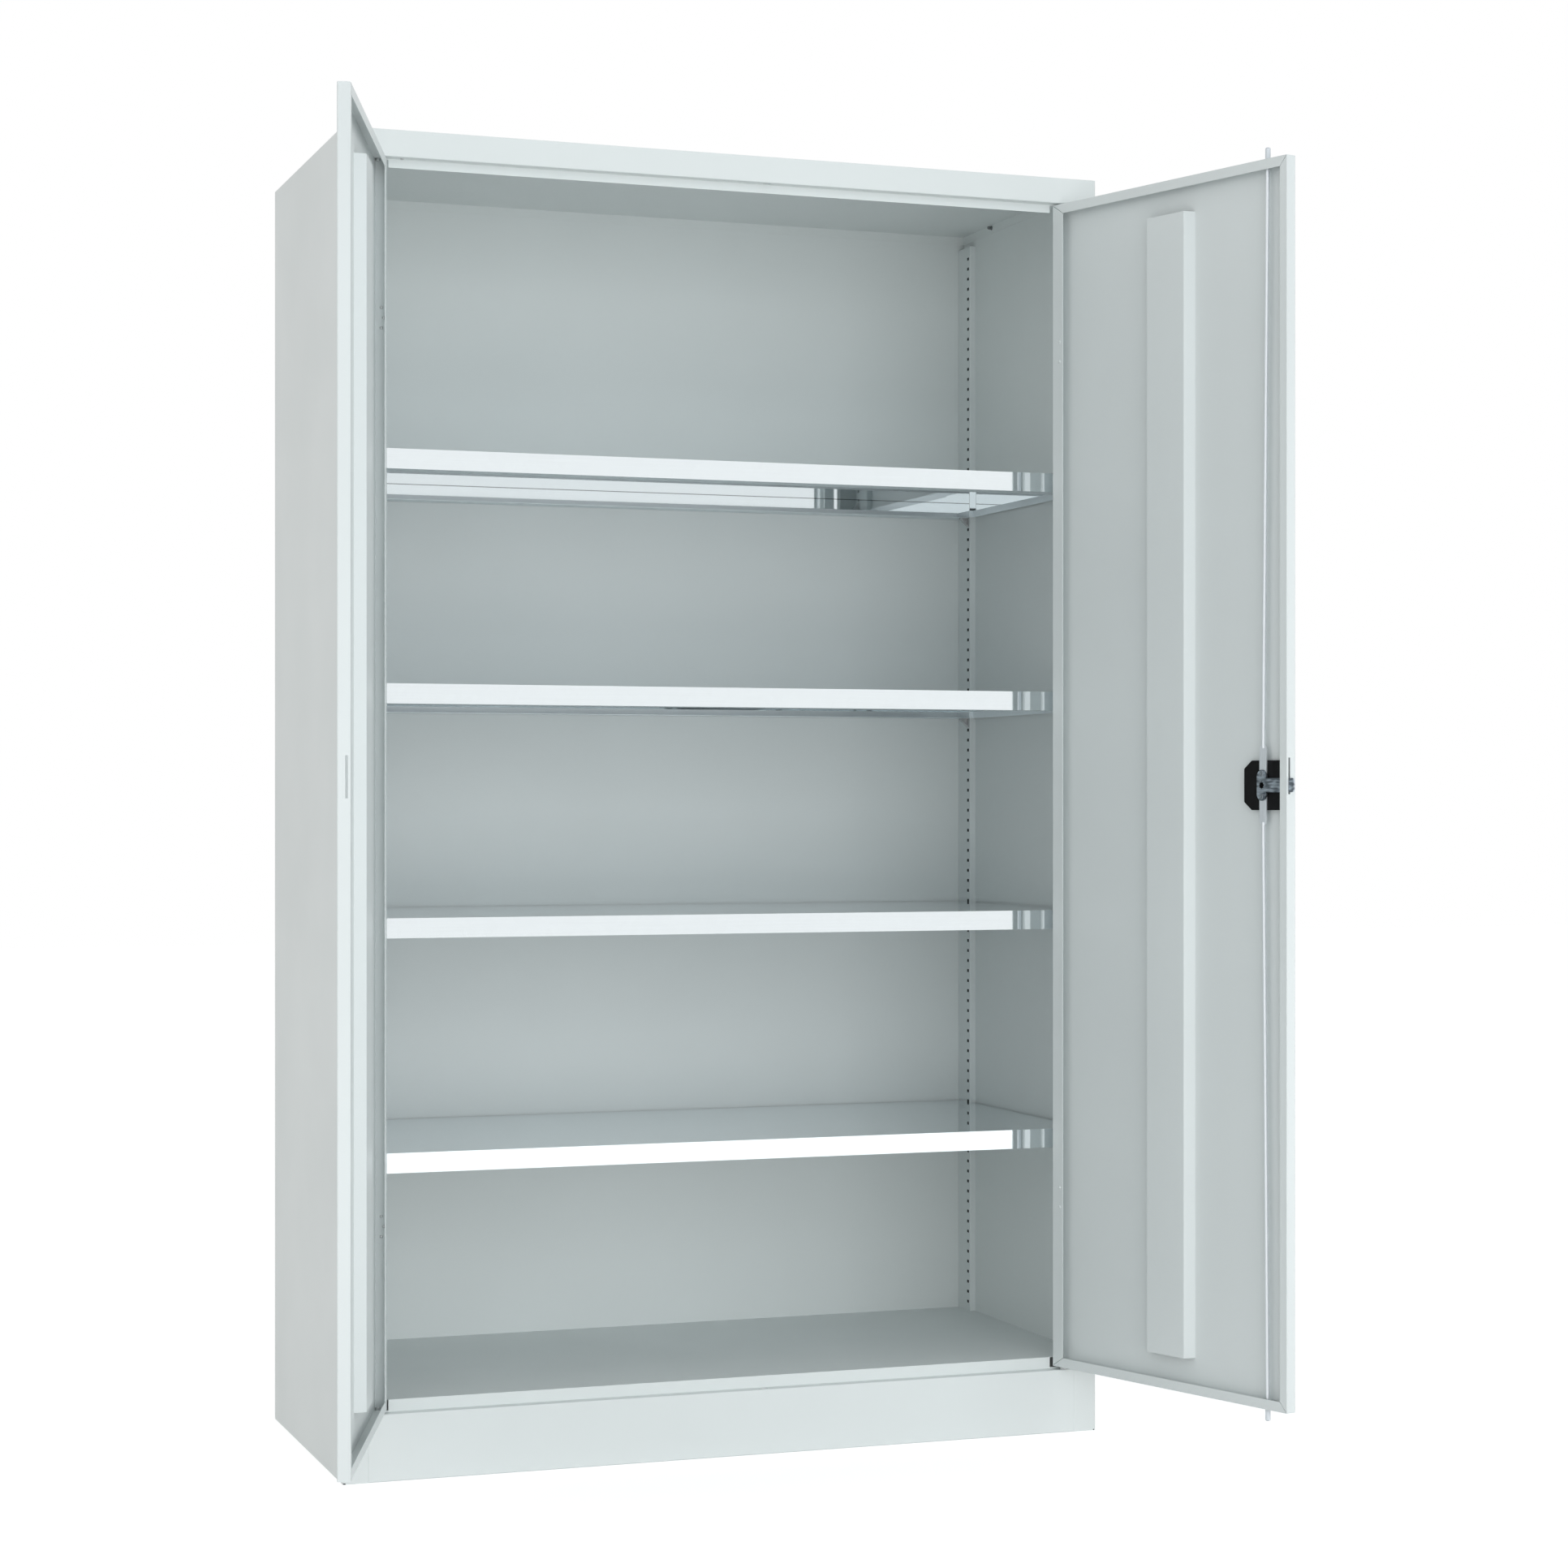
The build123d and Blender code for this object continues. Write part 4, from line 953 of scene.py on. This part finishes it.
class CABINET_OT_shape_handle(bpy.types.Operator):
    """The moulded turning grip outside the lock door"""

    bl_idname = "cabinet.shape_handle"
    bl_label = "Shape the handle"

    def execute(self, context):
        sizes = context.scene.cabinet_fittings
        finishes = context.scene.cabinet_finishes
        steps = sizes.round_steps
        matrix = door_matrix(1)
        spot = Matrix.Translation(Vector((sizes.spindle_u, 0.0, sizes.spindle_z)))
        outwards = Matrix.Rotation(-math.pi / 2, 4, "X")
        neck = -0.7 * sizes.grip_inner_v
        inside_grip = -1.25 * sizes.grip_inner_v
        hub_end = -1.3 * sizes.grip_inner_v
        flared = 1.04 * sizes.hub_radius
        hub_profile = [
            (0.0, sizes.sheet),
            (sizes.hub_radius, sizes.sheet),
            (sizes.hub_radius, neck),
            (flared, inside_grip),
            (0.0, hub_end),
        ]
        parts = [self.grip(sizes, matrix), turned(hub_profile, steps, matrix @ spot @ outwards)]
        plastic = moulded("grip_plastic", finishes.black_colour, roughness=0.42)
        grip = mesh_object("moulded_grip", *joined(parts), plastic)
        sharpen(grip, math.radians(50))
        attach(grip, "handle")
        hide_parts("outside_handle")
        return {"FINISHED"}

    def grip(self, sizes, matrix):
        """The points and faces of the grip, a rounded square that is waisted and closed at the ends."""
        rings = 28
        squareness = 0.62
        flare = 1.6
        end_sharpness = 9
        end_roundness = 0.42
        steps = sizes.round_steps
        middle_v = -sizes.grip_inner_v - sizes.grip_thick / 2
        vertices = []
        for ring in range(rings + 1):
            along = -math.cos(math.pi * ring / rings)
            widening = min(1.0, along * along * flare)
            waist = sizes.grip_waist + (sizes.grip_width - sizes.grip_waist) * widening
            taper = max(0.0, 1.0 - abs(along) ** end_sharpness) ** end_roundness
            for step in range(steps):
                angle = 2 * math.pi * step / steps
                across = math.copysign(abs(math.cos(angle)) ** squareness, math.cos(angle))
                thick = math.copysign(abs(math.sin(angle)) ** squareness, math.sin(angle))
                vertices.append(matrix @ Vector((
                    sizes.spindle_u + across * taper * waist / 2,
                    middle_v + thick * taper * sizes.grip_thick / 2,
                    sizes.spindle_z + along * sizes.grip_length / 2,
                )))
        return vertices, tube_faces(rings + 1, steps)


class CABINET_OT_fit_cylinder(bpy.types.Operator):
    """The key cylinder with its rim, turned face and keyway"""

    bl_idname = "cabinet.fit_cylinder"
    bl_label = "Fit the key cylinder"

    def execute(self, context):
        sizes = context.scene.cabinet_fittings
        finishes = context.scene.cabinet_finishes
        face = sizes.cylinder_rim
        rim = sizes.cylinder_rim_radius
        core = rim * 0.68
        plug_radius = core * 0.98
        plug_face = face * 0.55
        ring_radius = core * 1.03
        ring_height = face * 0.95
        crown_radius = rim * 0.93
        rim_height = face * 0.72
        profile = [
            (plug_radius, plug_face),
            (core, plug_face),
            (ring_radius, ring_height),
            (crown_radius, face),
            (rim, rim_height),
            (rim, 0.0),
            (sizes.cylinder_radius, 0.0),
            (sizes.cylinder_radius, -sizes.cylinder_length),
            (0.0, -sizes.cylinder_length),
        ]
        front_v = -sizes.grip_inner_v - sizes.grip_thick
        spot = Matrix.Translation(Vector((sizes.spindle_u, front_v, sizes.spindle_z)))
        facing = door_matrix(1) @ spot @ Matrix.Rotation(math.pi / 2, 4, "X")
        barrel = turned(profile, sizes.round_steps, facing)
        plug = self.keyed_face(sizes, facing, plug_radius, plug_face)
        chrome = plated("chromed_brass", finishes.chrome_colour, roughness=0.16)
        piece = mesh_object("key_cylinder", *joined([barrel, plug]), chrome)
        sharpen(piece)
        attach(piece, "lock_cylinder")
        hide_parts("lock_cylinder")
        return {"FINISHED"}

    def keyed_face(self, sizes, carry, radius, height):
        """A round face with a slot sunk into it."""
        tiny = 1e-6
        slot_depth = 1.5 * radius
        steps = sizes.round_steps
        half_width = sizes.key_slot_width / 2
        half_length = sizes.key_slot_length / 2
        bottom = height - slot_depth
        ring = []
        inner = []
        for step in range(steps):
            angle = 2 * math.pi * step / steps
            across = math.cos(angle)
            along = math.sin(angle)
            reach = min(half_width / max(abs(across), tiny), half_length / max(abs(along), tiny))
            ring.append(Vector((radius * across, radius * along, height)))
            inner.append(Vector((reach * across, reach * along, height)))
        sunk = [Vector((point.x, point.y, bottom)) for point in inner]
        vertices = [carry @ point for point in ring + inner + sunk]
        faces = tube_faces(3, steps)
        faces.append(tuple(range(2 * steps, 3 * steps)))
        return vertices, faces


class CABINET_OT_set_stage(bpy.types.Operator):
    """Camera at the photograph's view, soft lamps, white surroundings and a floor"""

    bl_idname = "cabinet.set_stage"
    bl_label = "Set the stage"

    def execute(self, context):
        studio = context.scene.cabinet_studio
        self.camera(context, studio)
        ahead = (math.pi / 2, 0.0, 0.0)
        across = (math.pi / 2, 0.0, -math.pi / 2)
        self.lamp(studio, "front", studio.front_colour, ahead)
        self.lamp(studio, "side", WHITE, across)
        self.lamp(studio, "low", WHITE, ahead)
        high = self.lamp(studio, "high", studio.high_colour, ahead)
        high.visible_glossy = True
        self.sky(context, studio)
        self.floor(studio)
        context.scene.view_settings.view_transform = "Standard"
        return {"FINISHED"}

    def camera(self, context, studio):
        """The camera, fitted to the corners seen in the photograph."""
        data = bpy.data.cameras.new("photo_camera")
        data.sensor_width = SENSOR
        data.lens = studio.focal_pixels * SENSOR / PHOTO_PIXELS
        data.shift_x = (PHOTO_PIXELS / 2 - studio.centre_x) / PHOTO_PIXELS
        data.shift_y = (studio.centre_y - PHOTO_PIXELS / 2) / PHOTO_PIXELS
        data.clip_end = 100.0
        camera = bpy.data.objects.new("photo_camera", data)
        camera.location = studio.camera_place
        camera.rotation_euler = (math.pi / 2, 0.0, -studio.camera_yaw)
        context.scene.collection.objects.link(camera)
        context.scene.camera = camera

    def lamp(self, studio, name, rgb, turn):
        """A soft rectangular lamp, seen by neither the camera nor gloss."""
        data = bpy.data.lights.new(name + "_lamp", "AREA")
        data.shape = "RECTANGLE"
        data.size, data.size_y = getattr(studio, name + "_size")
        data.energy = getattr(studio, name + "_power")
        data.color = rgb
        lamp = bpy.data.objects.new(name + "_lamp", data)
        lamp.location = getattr(studio, name + "_place")
        lamp.rotation_euler = turn
        lamp.visible_camera = False
        lamp.visible_glossy = False
        bpy.context.scene.collection.objects.link(lamp)
        return lamp

    def sky(self, context, studio):
        """White for the camera, glass and gloss, softer for matt surfaces."""
        world = bpy.data.worlds.new("studio")
        world.use_nodes = True
        tree = world.node_tree
        seen = seen_rays(tree)
        feed_named(tree, tree.nodes["Background"], {
            "Strength": spread(tree, seen, "Sky level", studio.sky_level, low_in=0.0, high_in=1.0),
            "Color": mixed(tree, "Sky tint", seen, studio.sky_colour, WHITE),
        })
        context.scene.world = world

    def floor(self, studio):
        """A pale floor that stays white for the camera outside the cabinet's shadow."""
        material, tree, shader = new_material("studio_floor")
        cloud = noise(tree, object_coordinates(tree), "Floor clouding", scale=1.5)
        darker = tinted(studio.floor_colour, 0.995)
        lighter = tinted(studio.floor_colour, 1.005)
        feed_named(tree, shader, {
            "Base Color": mixed(tree, "Floor", cloud, darker, lighter),
            "Roughness": 0.9,
            "Specular IOR Level": 0.0,
            "Emission Color": WHITE,
            "Emission Strength": arithmetic(tree, "MULTIPLY", "Glow", seen_rays(tree), studio.floor_glow),
        })
        half = studio.floor_size / 2
        corners = [(-half, -half, 0), (half, -half, 0), (half, half, 0), (-half, half, 0)]
        floor = mesh_object("studio_floor", corners, [(0, 1, 2, 3)], material, smooth=False)


class CABINET_PT_panel(bpy.types.Panel):
    """The cabinet's steps in the sidebar"""

    bl_idname = "CABINET_PT_panel"
    bl_label = "Steel cabinet"
    bl_space_type = "VIEW_3D"
    bl_region_type = "UI"
    bl_category = "Cabinet"

    def draw(self, context):
        for step in STEPS:
            self.layout.operator(step.bl_idname)
        for name in GROUPS:
            group = getattr(context.scene, name)
            box = self.layout.box()
            for field in group.__annotations__:
                box.prop(group, field)


GROUPS = {
    "cabinet_finishes": CabinetFinishes,
    "cabinet_fittings": CabinetFittings,
    "cabinet_studio": CabinetStudio,
}
STEPS = (
    CABINET_OT_paint_shell,
    CABINET_OT_paint_doors,
    CABINET_OT_finish_strips,
    CABINET_OT_finish_shelves,
    CABINET_OT_finish_lock,
    CABINET_OT_finish_small_parts,
    CABINET_OT_fit_rivets,
    CABINET_OT_fill_seams,
    CABINET_OT_fit_roof_screws,
    CABINET_OT_fit_cam_pins,
    CABINET_OT_shape_handle,
    CABINET_OT_fit_cylinder,
    CABINET_OT_set_stage,
)


def register():
    """Registers the property groups, operators and panel."""
    for name, group in GROUPS.items():
        bpy.utils.register_class(group)
        setattr(bpy.types.Scene, name, PointerProperty(type=group))
    for step in STEPS:
        bpy.utils.register_class(step)
    bpy.utils.register_class(CABINET_PT_panel)


def unregister():
    """Takes everything out again."""
    bpy.utils.unregister_class(CABINET_PT_panel)
    for step in reversed(STEPS):
        bpy.utils.unregister_class(step)
    for name, group in GROUPS.items():
        delattr(bpy.types.Scene, name)
        bpy.utils.unregister_class(group)


def main():
    """Dresses the cabinet and sets the stage."""
    register()
    for step in STEPS:
        group, name = step.bl_idname.split(".")
        getattr(getattr(bpy.ops, group), name)()


if __name__ == "__main__":
    main()
